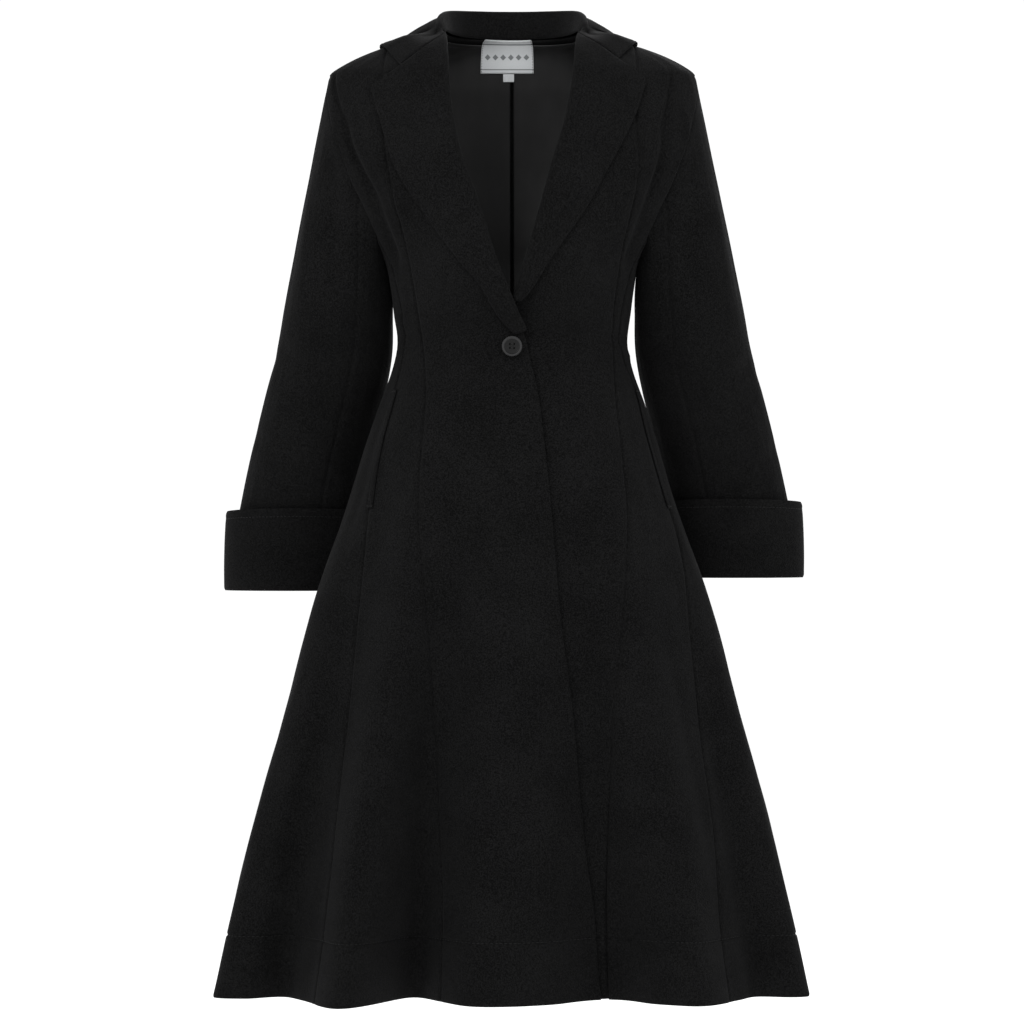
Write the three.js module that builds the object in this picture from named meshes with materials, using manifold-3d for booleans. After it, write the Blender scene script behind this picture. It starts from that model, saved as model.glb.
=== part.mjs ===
// A black wool swing coat with princess seams, turned-back cuffs and one button, as it hangs when worn.
// Millimetres. +X is the wearer's left, -Y is the front and +Z is up.
// The origin lies midway between the two side neck points, on the line of the shoulder seams.
import * as THREE from "three";
import { mergeVertices } from "three/addons/utils/BufferGeometryUtils.js";
import Module from "manifold-3d";

// Cloth and seams
const WOOL = 2.6;
const COLLAR_WALL = 3.4; // two layers of wool, pressed
const CUFF_WALL = 3.4;
const LINING_WALL = 1;
const SEAM_GAP = 0.3;
const LINING_GAP = 1.4; // air between the wool and the lining
const NECK_LINING_GAP = 2; // further air over the shoulders
const UNDER_FRONT_DEPTH = 5; // how far the under front lies below the top front
const V_DEPTH = 6.5; // further depth where the under lapel passes below the top one

// Heights
const HEM_Z = -1096;
const UNDERARM_Z = -263;
const SHOULDER_TIP_Z = -53.5;
const PRINCESS_TOP_Z = -17;
const SIDE_SEAM_TOP_Z = -236;
const BACK_NECK_Z = -1;
const FOLDS_FROM_Z = -470;
const LINING_HEM_Z = -1050;
const V_Z = -322; // where the two lapels cross

// Levels of the rows that every long panel is built on
const SHOULDER_LEVELS = [-7.5, -12, PRINCESS_TOP_Z, -28, -40, SHOULDER_TIP_Z];
const ARMHOLE_LEVELS = [-75, -104, -133, -162, -190, -214, SIDE_SEAM_TOP_Z];
const SKIRT_LEVELS = [
  -263, -292, -322, -343, -364, -388, -415, -455, -505, -565, -635, -715, -805, -900, -1000, HEM_Z,
];

// One row per horizontal section of the body. power 2 is an ellipse, more is squarer.
const BODY = table("z width front back power", [
  [0, 72, 4, 85, 2.2],
  [-6, 102, 20, 90, 2.2],
  [-17, 139, 42, 95.5, 2.2],
  [-30.5, 175, 58, 99, 2.2],
  [-46, 203, 71, 102, 2.2],
  [-53.5, 209.5, 76, 103, 2.2],
  [-75, 215.5, 85, 106, 2.2],
  [-104, 222, 97, 109, 2.2],
  [-133, 220, 107, 111, 2.2],
  [-162, 208, 115, 112, 2.2],
  [-190, 192, 121, 111, 2.2],
  [-214, 176, 125, 109, 2.2],
  [-236, 161, 127, 107, 2.2],
  [-263, 145, 128, 105, 2.2],
  [-292, 139, 121, 100, 2.15],
  [-322, 135, 109, 94, 2.1],
  [-355, 131, 97, 90, 2.1],
  [-388, 137, 101, 98, 2.1],
  [-429, 152, 108, 112, 2.15],
  [-470, 166, 113, 121, 2.2],
  [-543, 188, 119, 133, 2.2],
  [-643, 223, 119, 143, 2.25],
  [-763, 255, 117, 150, 2.3],
  [-882, 288, 115, 156, 2.3],
  [-991, 313, 113, 160, 2.3],
  [-1096, 336, 112, 163, 2.3],
]);

// One row per flute of the skirt: where it stands round the hem (0 is the centre front, 90 the wearer's
// left side, 180 the centre back), how far it swings out there, and its half spread in degrees.
const FLUTES = table("angle out spread", [
  [-72, 16, 9],
  [-51, -34, 9],
  [-29.5, 54, 8],
  [-17, -64, 6.5],
  [-3, 24, 9],
  [16, -40, 9],
  [33.5, 34, 9],
  [57, -28, 9],
  [76, 9, 8],
  [103, -26, 9],
  [122, 36, 9],
  [140, -38, 9],
  [158, 34, 9],
  [176, -34, 9],
  [-166, 30, 8],
  [-149, -40, 9],
  [-129, 38, 9],
  [-108, -24, 9],
]);

// Seams and edges on the front, as the distance from the centre line at each height.
const RIGHT_PRINCESS = table("z x", [
  [-17, -139], [-40, -145], [-127, -144], [-190, -134], [-264, -117], [-335, -105], [-375, -99],
  [-419, -97], [-502, -102], [-560, -103], [-623, -98], [-736, -91], [-827, -88], [-973, -81],
  [-1096, -84],
]);
const LEFT_PRINCESS = table("z x", [
  [-17, 139], [-40, 141], [-100, 139], [-152, 142], [-201, 136], [-264, 123], [-326, 115],
  [-375, 115], [-419, 117], [-482, 123], [-538, 128], [-607, 126], [-721, 118], [-827, 112.5],
  [-980, 109], [-1096, 112],
]);
const RIGHT_SIDE_SEAM = table("z x", [
  [-236, -154], [-278, -134], [-355, -122], [-411, -133], [-467, -148], [-548, -163], [-653, -176],
  [-732, -185], [-829, -194], [-915, -200], [-991, -208], [-1096, -218],
]);
const LEFT_SIDE_SEAM = table("z x", [
  [-236, 154], [-278, 134], [-355, 122], [-422, 145], [-480, 161], [-526, 174], [-584, 191],
  [-635, 199], [-751, 214], [-842, 223], [-921, 232], [-1019, 237], [-1096, 246],
]);
const BACK_PRINCESS = table("z x", [
  [-17, 139], [-104, 133], [-190, 116], [-263, 97], [-355, 74], [-470, 84], [-643, 98],
  [-882, 120], [-1096, 142],
]);
const BACK_SIDE_SEAM = table("z x", [
  [-236, 154], [-278, 131], [-355, 116], [-429, 138], [-543, 165], [-643, 187], [-882, 226],
  [-1096, 254],
]);
const ARMHOLE = table("z x", [
  [-53.5, 208.5], [-75, 211.5], [-104, 206.5], [-133, 198], [-162, 187], [-190, 176], [-214, 164.5],
  [-236, 154],
]);
// The front edge of the top front, which is the roll line of its lapel above z = -348.
const TOP_FRONT_EDGE = table("z x", [
  [-3, -77], [-68.5, -76], [-110, -70], [-152.5, -61.3], [-201, -42.3], [-263.6, -23.4],
  [-320, 0], [-348, 13], [-376, 20], [-419, 29.5], [-497, 39], [-554, 45], [-623, 51],
  [-688, 57.5], [-745, 66], [-842, 76], [-932, 85], [-992, 94], [-1068, 100], [-1096, 103],
]);
const UNDER_FRONT_EDGE = table("z x", [
  [-3, 77], [-68.5, 72], [-133, 58], [-212, 35.6], [-282.5, 14], [-322, 3], [-348, -12],
  [-376, -20], [-497, -32], [-623, -38], [-842, -44], [-1096, -50],
]);

// Lapels: one row from the roll line to the outer edge; x is the distance from the centre line
// towards the lapel's own side.
const TOP_LAPEL = table("rollX rollZ edgeX edgeZ", [
  [76.8, -11, 123.5, -49.5],
  [76.6, -26, 151, -66],
  [76.2, -40, 156.5, -72],
  [75.5, -58, 154, -86],
  [72.5, -90, 143.7, -121],
  [66.5, -128, 133, -157],
  [57, -165, 116, -188],
  [45, -196, 95.7, -217.7],
  [34, -230, 77.8, -243.6],
  [22.5, -266, 54.5, -273.6],
  [12, -291, 36.7, -294],
  [-2, -325, 16.7, -328],
  [-12, -346, -3, -350],
]);
const UNDER_LAPEL = table("rollX rollZ edgeX edgeZ", [
  [76.2, -11, 118, -41],
  [75.5, -26, 143, -57],
  [74.6, -40, 149, -64],
  [73, -58, 146, -78],
  [68, -90, 139, -101],
  [61, -122, 124, -133],
  [50, -158, 103, -172],
  [39, -198, 85.7, -204],
  [28, -237, 62, -240],
  [16, -276, 39, -272.5],
  [9, -302, 21, -303],
  [4.8, -314, 10.5, -315],
]);

// Collar, one half: the neck seam, the fold line above it, and the outer edge of the fall. drop and
// belly shape the fall's curve, as shares of its length along the stand and out from it; settle is how
// far it follows the coat. The last row is the gorge seam, and the one before ends in the corner.
const COLLAR = table(
  "neckX neckY neckZ foldX foldY foldZ edgeX edgeZ edgeBack drop belly settle", [
  [0, 83.6, 0.3, 0, 88, 30, 0, -43, 1, -0.3, 0.14, 1],
  [20, 81.6, 0.3, 20, 86.5, 30, 32, -43, 1, -0.3, 0.14, 1],
  [38, 74.5, 0.3, 39, 81, 30, 64, -43, 1, -0.28, 0.15, 0.9],
  [54, 58, 0.3, 57, 69, 29.5, 97, -40, 1, -0.2, 0.24, 0.5],
  [66, 34, 0.3, 70, 48, 27, 126, -34, 1, -0.04, 0.38, 0.1],
  [71, 14, 0.3, 76, 27, 22.5, 140, -29, 1, 0.04, 0.44, 0],
  [72.4, 7, 0.6, 78, 15, 18, 147, -25.5, 1, 0.05, 0.45, 0],
  [73.4, 1.5, 0.6, 79, 5, 13, 150, -21, 1, 0, 0.42, 0.2],
  [74.4, -3, -1.2, 79.4, -4, 7, 147.5, -22.5, 0, -0.14, 0.28, 0.8],
  [75.2, -5.6, -3.4, 79.2, -8.5, 2, 142, -27, 0, -0.2, 0.2, 1],
  [76.3, -8.5, -6.2, 78.4, -12.5, -3, 125.5, -45.5, 0, -0.3, 0.14, 1],
]);
const COLLAR_LIFT = 4; // from the coat's own cloth to the collar's mid layer
const COLLAR_TOP_LIFT = 16;
const NECK_Z = -5;
const LEFT_COLLAR_SHORT = 0.05; // the left collar end lies a little nearer the neck
const LEFT_COLLAR_RISE = 3.4;
const STAND_WALL = 3;
const ROLL_RADIUS = 3;
const ROLL_START = 1; // from the front's edge to the first of the rolled cloth
const ROLL_STEPS = 5;
const FALL_STEPS = 6;
const LAPEL_AIR = 1.4; // between the front and the lapel's outer edge
const GORGE_GAP = 0.4;

// Pocket welt beside the side-front seam
const WELT = { top: -411, bottom: -544, width: 7, height: 1.8, air: 0.6 };

// Sleeves: one row per section, for the wearer's right; x is the distance out from the centre line.
const SLEEVE = table("z x y halfWidth halfDepth", [
  [-318, 198.4, 20, 62.4, 58],
  [-365, 204, 38, 66.5, 57],
  [-415, 216, 60, 69, 55],
  [-480, 233, 85, 69.5, 52],
  [-545, 246.5, 106, 71, 50],
  [-592, 251.5, 122, 76, 51],
  [-640, 253.5, 136.6, 80, 51],
]);
const CAP_STEPS = 5;
const ARMHOLE_GAP = 0.6;
const UNDERARM_TURN = 0.7; // how far the sleeve has folded back where the armhole meets the side seam
const CAP_PULL = { out: 60, down: 60, floor: 45, free: 3, sleeve: 90 };
const FRONT_SLEEVE_SEAM = 6; // counted in armhole points from the shoulder tip
const CUFF = table("z x y halfWidth halfDepth frontRise", [
  [-548, 249, 107, 84.5, 57, 4],
  [-580, 251, 118, 85, 56.8, 3],
  [-611, 252.5, 128.2, 85, 56.4, 1],
  [-640, 253.5, 136.6, 84.4, 55.6, 0],
]);
const CUFF_SIDES = 36;
const LEFT_SLEEVE_REACH = 0.953; // the wearer's left sleeve hangs a little shorter
const LEFT_SLEEVE_OUT = 4; // and a little further out

const BUTTON = {
  z: -364, radius: 11.4, rim: 2.2, thickness: 4.6, dish: 1.2, hole: 1.1, holeAt: 2.2, standOff: 3.2,
};
const SHANK_RADIUS = 2.6;
const LABEL = { top: -2, bottom: -38.5, halfWidth: 31.3, centre: -5.8, wall: 0.7, columns: 8 };
const LABEL_AIR = 0.9;
const SIZE_TAB = { top: -39.1, bottom: -48, halfWidth: 6.4, centre: -4, wall: 0.6 };
const PLEAT_HALF = 1.6; // half of the gap in the centre-back pleat of the lining
const LINING_CLEAR = 50; // how far the lining stays inside the skirt at the hem
const LINING_INSET = 3; // degrees from the armhole seam to the lining's edge

const COLOURS = {
  wool: 0x17171a,
  lining: 0x1f1f22,
  button: 0x2b2b2d,
  label: 0xb0b3b3,
};

const RAD = Math.PI / 180;
const clamp01 = (t) => Math.min(1, Math.max(0, t));
const ease = (t) => clamp01(t) ** 2 * (3 - 2 * clamp01(t));
const mix = (a, b, t) => a + (b - a) * t;

function table(columns, rows) {
  const names = columns.split(" ");
  return rows.map((row) => Object.fromEntries(names.map((name, i) => [name, row[i]])));
}

// A smooth curve through one column of a table, read at a height. Rows run downwards.
function at(rows, column, z) {
  const last = rows.length - 1;
  if (z >= rows[0].z) return rows[0][column];
  if (z <= rows[last].z) return rows[last][column];
  const i = rows.findIndex((row, k) => k < last && z <= row.z && z > rows[k + 1].z);
  const slope = (k) => {
    const a = rows[Math.max(0, k - 1)];
    const b = rows[Math.min(last, k + 1)];
    return (b[column] - a[column]) / (b.z - a.z);
  };
  const span = rows[i + 1].z - rows[i].z;
  const t = (z - rows[i].z) / span;
  const [p, q] = [rows[i][column], rows[i + 1][column]];
  const [m, n] = [slope(i) * span, slope(i + 1) * span];
  return (
    p * (2 * t ** 3 - 3 * t ** 2 + 1) + m * (t ** 3 - 2 * t ** 2 + t) +
    q * (3 * t ** 2 - 2 * t ** 3) + n * (t ** 3 - t ** 2)
  );
}

function turnBetween(a, b) {
  return ((((a - b) % 360) + 540) % 360) - 180;
}

function fluteOut(angle, z) {
  const grown = clamp01((FOLDS_FROM_Z - z) / (FOLDS_FROM_Z - HEM_Z)) ** 1.25;
  const swing = FLUTES.reduce(
    (sum, f) => sum + f.out * Math.exp(-((turnBetween(angle, f.angle) / f.spread) ** 2)), 0);
  return swing * grown;
}

// A point of the body's outer face at an angle round the wearer and a height.
function bodyPoint(angle, z, fluted = 1) {
  const [width, front, back, power] = ["width", "front", "back", "power"].map((c) => at(BODY, c, z));
  const s = Math.sin(angle * RAD);
  const c = Math.cos(angle * RAD);
  const depth = c > 0 ? front : back;
  const across = Math.sign(s) * Math.abs(s) ** (2 / power);
  const along = Math.sign(c) * Math.abs(c) ** (2 / power);
  const facing = new THREE.Vector2(across * Math.abs(across) ** (power - 2) / width,
    -along * Math.abs(along) ** (power - 2) / depth).normalize();
  const out = fluted * fluteOut(angle, z);
  return new THREE.Vector3(width * across + facing.x * out, -depth * along + facing.y * out, z);
}

function bodyNormal(angle, z, fluted = 1) {
  const step = 0.6;
  const low = Math.max(HEM_Z, z - step);
  const high = Math.min(0, z + step);
  const round = bodyPoint(angle + 0.4, z, fluted).sub(bodyPoint(angle - 0.4, z, fluted));
  const up = bodyPoint(angle, high, fluted).sub(bodyPoint(angle, low, fluted));
  return round.cross(up).normalize();
}

// A point moved off the body's face: outwards when the distance is positive.
function offBody(angle, z, distance, fluted = 1) {
  return bodyPoint(angle, z, fluted).addScaledVector(bodyNormal(angle, z, fluted), distance);
}

// The angle of a front or back point that lies x from the centre line.
function frontAngle(x, z) {
  const share = Math.min(1, Math.abs(x) / at(BODY, "width", z));
  return (Math.sign(x) * Math.asin(share ** (at(BODY, "power", z) / 2))) / RAD;
}
function backAngle(x, z) {
  return Math.sign(x) * (180 - Math.abs(frontAngle(x, z)));
}

function degreesFor(distance, angle, z) {
  return distance / bodyPoint(angle + 0.5, z).distanceTo(bodyPoint(angle - 0.5, z));
}

// One closed wall from a grid of outer points and the grid of inner points behind it.
// A ring's last column joins its first.
function wall(outer, inner, ring = false) {
  const rows = outer.length;
  const columns = outer[0].length;
  const points = [...outer.flat(), ...inner.flat()];
  const behind = rows * columns;
  const index = [];
  const quad = (a, b, c, d) => index.push(a, b, c, a, c, d);
  const across = ring ? columns : columns - 1;
  const id = (i, j) => i * columns + (j % columns);
  for (let i = 0; i < rows - 1; i++)
    for (let j = 0; j < across; j++) {
      const [a, b, c, d] = [id(i, j), id(i, j + 1), id(i + 1, j + 1), id(i + 1, j)];
      quad(a, b, c, d);
      quad(behind + d, behind + c, behind + b, behind + a);
    }
  for (let j = 0; j < across; j++) {
    const [top, next] = [id(0, j), id(0, j + 1)];
    const [low, after] = [id(rows - 1, j), id(rows - 1, j + 1)];
    quad(behind + top, behind + next, next, top);
    quad(low, after, behind + after, behind + low);
  }
  for (let i = 0; i < rows - 1 && !ring; i++) {
    const [left, below] = [id(i, 0), id(i + 1, 0)];
    const [right, under] = [id(i, columns - 1), id(i + 1, columns - 1)];
    quad(left, below, behind + below, behind + left);
    quad(right, behind + right, behind + under, under);
  }
  const geometry = new THREE.BufferGeometry().setFromPoints(points);
  geometry.setIndex(volume(points, index) > 0 ? index : index.reverse());
  geometry.computeVertexNormals();
  return geometry;
}

function volume(points, index) {
  let sum = 0;
  const edge = new THREE.Vector3();
  for (let i = 0; i < index.length; i += 3)
    sum += edge.copy(points[index[i]]).cross(points[index[i + 1]]).dot(points[index[i + 2]]);
  return sum;
}

const coat = new THREE.Group();
coat.name = "coat";

function add(name, geometry, cloth) {
  const material = new THREE.MeshStandardMaterial({ color: COLOURS[cloth], roughness: 0.9 });
  const mesh = new THREE.Mesh(geometry, material);
  mesh.name = name;
  coat.add(mesh);
  return mesh;
}

// A panel between two seams. from and to give the seams' angles at a height; lift moves the cloth
// off the body's face; levelAt bends a row across the panel; fluted is 0 for cloth without flutes.
function panel({
  levels, from, to, columns, lift = () => 0, levelAt = (level) => level, thickness = WOOL, fluted = 1,
}) {
  const grid = (depth) =>
    levels.map((level, i) =>
      Array.from({ length: columns + 1 }, (_, j) => {
        const u = j / columns;
        const z = levelAt(level, i, u);
        const [start, end] = [from(z), to(z)];
        const turn = Math.sign(end - start);
        const first = start + turn * degreesFor(SEAM_GAP / 2, start, z);
        const last = end - turn * degreesFor(SEAM_GAP / 2, end, z);
        const angle = mix(first, last, u);
        return offBody(angle, z, lift(angle, z) - depth, fluted);
      }));
  return wall(grid(0), grid(thickness));
}

// How far the under front dips below the face of the body, so that the top front clears it.
function underDip(angle, z) {
  const x = bodyPoint(angle, z).x;
  const covered = ease((at(TOP_FRONT_EDGE, "x", z) + 46 - x) / 38);
  const low = ease((-268 - z) / 40);
  const atV = Math.exp(-(((z - V_Z) / 34) ** 2)) * ease((44 - x) / 36);
  return -(UNDER_FRONT_DEPTH * covered * low + V_DEPTH * atV);
}

const seam = (rows, angleOf, side = 1) => (z) => angleOf(side * at(rows, "x", z), z);
// A seam that starts on the shoulder: above its top the panel ends on the shoulder line.
const belowShoulder = (top, side, line) => (z) => (z > top ? side * 90 : line(z));

const rightSide = -1;
const leftSide = 1;

const edges = {
  topFront: seam(TOP_FRONT_EDGE, frontAngle),
  underFront: seam(UNDER_FRONT_EDGE, frontAngle),
  rightPrincess: belowShoulder(PRINCESS_TOP_Z, rightSide, seam(RIGHT_PRINCESS, frontAngle)),
  leftPrincess: belowShoulder(PRINCESS_TOP_Z, leftSide, seam(LEFT_PRINCESS, frontAngle)),
  rightSideSeam: seam(RIGHT_SIDE_SEAM, frontAngle),
  leftSideSeam: seam(LEFT_SIDE_SEAM, frontAngle),
};

function armholeAngle(side, angleOf) {
  return belowShoulder(SHOULDER_TIP_Z, side, (z) => angleOf(side * at(ARMHOLE, "x", z), z));
}

function outerEdge(side, angleOf, sideSeam) {
  const armhole = armholeAngle(side, angleOf);
  return (z) => (z >= SIDE_SEAM_TOP_Z ? armhole(z) : sideSeam(z));
}

// The bottom of the armhole, where the side panel ends: lowest at the middle of the panel.
function armholeFloor(u) {
  return mix(UNDERARM_Z, SIDE_SEAM_TOP_Z, (2 * u - 1) ** 2);
}
// The side panel's first two rows follow the armhole, and the rest are level.
function sidePanelLevel(level, row, u) {
  if (row === 0) return armholeFloor(u);
  return row === 1 ? mix(UNDERARM_Z - 14, UNDERARM_Z, (2 * u - 1) ** 2) : level;
}

const SIDE_COLUMNS = 8;
const fromNeck = [...SHOULDER_LEVELS, ...ARMHOLE_LEVELS, ...SKIRT_LEVELS];
const underCollar = fromNeck.slice(1);
const fromShoulder = fromNeck.filter((z) => z < PRINCESS_TOP_Z);

function sidePanels(side) {
  const isRight = side === rightSide;
  const word = isRight ? "right" : "left";
  const princess = isRight ? edges.rightPrincess : edges.leftPrincess;
  const sideSeam = isRight ? edges.rightSideSeam : edges.leftSideSeam;
  const backPrincess = belowShoulder(PRINCESS_TOP_Z, side, seam(BACK_PRINCESS, backAngle, side));
  const backSeam = seam(BACK_SIDE_SEAM, backAngle, side);
  const shoulderEnd = (line) => (z) => (z > SHOULDER_TIP_Z ? side * 90 : line(z));

  add(`${word}_side_front`, panel({
    levels: fromShoulder,
    from: princess,
    to: shoulderEnd(outerEdge(side, frontAngle, sideSeam)),
    columns: 5,
  }), "wool");
  add(`${word}_side_panel`, panel({
    levels: [SIDE_SEAM_TOP_Z, ...SKIRT_LEVELS],
    from: sideSeam,
    to: backSeam,
    columns: SIDE_COLUMNS,
    levelAt: sidePanelLevel,
  }), "wool");
  add(`${word}_side_back`, panel({
    levels: fromShoulder,
    from: shoulderEnd(outerEdge(side, backAngle, backSeam)),
    to: backPrincess,
    columns: 5,
  }), "wool");
  add(`${word}_back`, panel({
    levels: [BACK_NECK_Z, ...fromNeck],
    from: backPrincess,
    to: () => side * 180,
    columns: 7,
  }), "wool");
  add(`${word}_back_lining`, liningPanel(side), "lining");
}

// The lining of the back hangs straight: it has no flutes and keeps inside them.
function liningDepth(z) {
  const grown = clamp01((FOLDS_FROM_Z - z) / (FOLDS_FROM_Z - HEM_Z)) ** 1.25;
  return WOOL + LINING_GAP + LINING_CLEAR * grown + NECK_LINING_GAP * ease((z + 85) / 40);
}

function liningPanel(side) {
  const levels = [BACK_NECK_Z - 1, ...fromNeck.filter((z) => z > LINING_HEM_Z), LINING_HEM_Z];
  const armhole = armholeAngle(side, backAngle);
  const outer = (z) => armhole(Math.max(z, SIDE_SEAM_TOP_Z)) + side * LINING_INSET;
  return panel({
    levels,
    from: outer,
    to: (z) => side * (180 - degreesFor(PLEAT_HALF, 179, z)),
    columns: 6,
    lift: (angle, z) => -liningDepth(z),
    thickness: LINING_WALL,
    fluted: 0,
  });
}

add("right_front", panel({
  levels: underCollar,
  from: edges.topFront,
  to: edges.rightPrincess,
  columns: 13,
}), "wool");
add("left_front", panel({
  levels: underCollar,
  from: edges.underFront,
  to: edges.leftPrincess,
  columns: 13,
  lift: underDip,
}), "wool");
sidePanels(rightSide);
sidePanels(leftSide);

// A layer that starts at an edge, rolls over and lies back on the coat: the grid points of one row.
// start is the middle of the edge it grows from, along points the way the cloth first runs, and
// over points from the hidden side to the side it turns to. fall gives the rest of the row.
function rolledRow(start, along, over, fall) {
  const centre = start.clone().addScaledVector(over, ROLL_RADIUS);
  const row = [];
  for (let k = 0; k <= ROLL_STEPS; k++) {
    const turn = (Math.PI * k) / ROLL_STEPS;
    const spoke = over.clone().multiplyScalar(-Math.cos(turn)).addScaledVector(along, Math.sin(turn));
    const half = mix(WOOL, COLLAR_WALL, k / ROLL_STEPS) / 2;
    row.push({
      outer: centre.clone().addScaledVector(spoke, ROLL_RADIUS + half),
      inner: centre.clone().addScaledVector(spoke, ROLL_RADIUS - half),
    });
  }
  for (let k = 1; k <= FALL_STEPS; k++) {
    const { point, facing } = fall(k / FALL_STEPS);
    row.push({
      outer: point.clone().addScaledVector(facing, COLLAR_WALL / 2),
      inner: point.clone().addScaledVector(facing, -COLLAR_WALL / 2),
    });
  }
  return row;
}

function rolledWall(rows) {
  return wall(rows.map((row) => row.map((p) => p.outer)), rows.map((row) => row.map((p) => p.inner)));
}

// One row of a lapel, from the roll line to the outer edge. dip is the depth of the front below it.
function lapelRow(side, { rollX, rollZ, edgeX, edgeZ }, dip) {
  const onFront = (u, lift) => {
    const z = mix(rollZ, edgeZ, u);
    const angle = frontAngle(side * mix(rollX, edgeX, u), z);
    const below = dip(angle, z);
    return { point: offBody(angle, z, lift + 0.64 * below), facing: bodyNormal(angle, z) };
  };
  const root = onFront(0, -WOOL / 2);
  const along = root.point.clone().sub(onFront(0.1, -WOOL / 2).point);
  along.addScaledVector(root.facing, -along.dot(root.facing)).normalize();
  const start = root.point.clone().addScaledVector(along, ROLL_START);
  const rolled = 2 * ROLL_RADIUS - WOOL / 2;
  const flat = COLLAR_WALL / 2 + LAPEL_AIR;
  return rolledRow(start, along, root.facing, (u) => onFront(u, mix(rolled, flat, u ** 0.8)));
}

const noDip = () => 0;
add("right_lapel", rolledWall(TOP_LAPEL.map((row) => lapelRow(rightSide, row, noDip))), "wool");
add("left_lapel", rolledWall(UNDER_LAPEL.map((row) => lapelRow(leftSide, row, underDip))), "wool");

// The collar's frame at one row of its table: the neck seam, the fold above it, and the directions
// up the stand and out from the neck.
function collarFrame(side, index) {
  const row = COLLAR[index];
  const after = COLLAR[index + 1];
  const before = index === 0 ? { ...after, foldX: -after.foldX } : COLLAR[index - 1];
  const neck = new THREE.Vector3(side * row.neckX, row.neckY, row.neckZ);
  const fold = new THREE.Vector3(side * row.foldX, row.foldY, row.foldZ);
  const up = fold.clone().sub(neck).normalize();
  const run = new THREE.Vector3(side * (after.foldX - before.foldX), after.foldY - before.foldY,
    after.foldZ - before.foldZ);
  const out = up.clone().cross(run).multiplyScalar(side).normalize();
  return { neck, fold, up, out };
}

function collarRow(side, index) {
  const row = COLLAR[index];
  const { fold, up, out } = collarFrame(side, index);
  const start = fold.clone().addScaledVector(out, STAND_WALL / 2).addScaledVector(up, SEAM_GAP);
  const short = side === leftSide ? ease(index / 6) : 0;
  const edgeX = side * row.edgeX * (1 - LEFT_COLLAR_SHORT * short);
  const edgeZ = row.edgeZ + LEFT_COLLAR_RISE * short;
  const onSide = row.edgeBack ? backAngle(edgeX, edgeZ) : frontAngle(edgeX, edgeZ);
  const angle = row.edgeX === 0 ? 180 : onSide;
  const edge = offBody(angle, edgeZ, COLLAR_LIFT);
  const edgeFacing = bodyNormal(angle, edgeZ);
  const rolled = start.clone().addScaledVector(out, 2 * ROLL_RADIUS);
  const reach = rolled.distanceTo(edge);
  const control = rolled.clone().addScaledVector(up, row.drop * reach).addScaledVector(out, row.belly * reach);
  const angleAt = row.neckY > 0 ? backAngle : frontAngle;
  const atNeck = angleAt(side * row.neckX, NECK_Z);
  const neckAngle = row.edgeX === 0 ? 180 : atNeck;
  const onCoat = (u) =>
    offBody(mix(neckAngle, angle, u), mix(NECK_Z, edgeZ, u), mix(COLLAR_TOP_LIFT, COLLAR_LIFT, u));
  return rolledRow(start, up, out, (u) => ({
    point: rolled.clone().multiplyScalar((1 - u) ** 2).addScaledVector(control, 2 * u * (1 - u))
      .addScaledVector(edge, u ** 2).lerp(onCoat(u), row.settle * ease(1.5 * u)),
    facing: out.clone().lerp(edgeFacing, u).normalize(),
  }));
}

// The gorge seam: the collar's last row lies just above the first row of the lapel.
function gorgeRow(side, lapel, dip) {
  const { rollX, rollZ, edgeX, edgeZ } = lapel;
  return lapelRow(side, { rollX: rollX - 0.4, rollZ: rollZ + GORGE_GAP, edgeX: edgeX + 0.4,
    edgeZ: edgeZ + GORGE_GAP }, dip);
}

// Both halves of the collar in one list, from the right gorge round the back to the left one.
function roundNeck(rowOf) {
  const half = (side) => COLLAR.slice(0, -1).map((_, index) => rowOf(side, index));
  return [...half(rightSide).reverse(), ...half(leftSide).slice(1)];
}

add("collar", rolledWall([
  gorgeRow(rightSide, TOP_LAPEL[0], noDip),
  ...roundNeck(collarRow),
  gorgeRow(leftSide, UNDER_LAPEL[0], underDip),
]), "wool");

function standWall() {
  const grid = (depth) => roundNeck(collarFrame).map(({ neck, fold, out }) =>
    [0, 0.5, 1].map((t) => neck.clone().lerp(fold, t).addScaledVector(out, depth)));
  return wall(grid(0), grid(STAND_WALL));
}
add("collar_stand", standWall(), "wool");

// The armhole seam as a ring of points, from the shoulder tip down the front, round the floor and
// up the back. turn is 0 where the sleeve carries on from the panel and 1 where it folds back down.
function armholeRing(side) {
  const front = armholeAngle(side, frontAngle);
  const back = armholeAngle(side, backAngle);
  const levels = ARMHOLE_LEVELS;
  const sideStart = (side === rightSide ? edges.rightSideSeam : edges.leftSideSeam);
  const sideEnd = seam(BACK_SIDE_SEAM, backAngle, side);
  const floor = Array.from({ length: SIDE_COLUMNS - 1 }, (_, k) => {
    const u = (k + 1) / SIDE_COLUMNS;
    const z = armholeFloor(u);
    return { angle: mix(sideStart(z), sideEnd(z), u), z, turn: mix(UNDERARM_TURN, 1, 1 - Math.abs(2 * u - 1)) };
  });
  const early = (z) => UNDERARM_TURN * ease((-120 - z) / 100);
  return [
    { angle: side * 90, z: SHOULDER_TIP_Z, turn: 0 },
    ...levels.map((z) => ({ angle: front(z), z, turn: early(z) })),
    ...floor,
    ...levels.map((z) => ({ angle: back(z), z, turn: early(z) })).reverse(),
  ];
}

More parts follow.
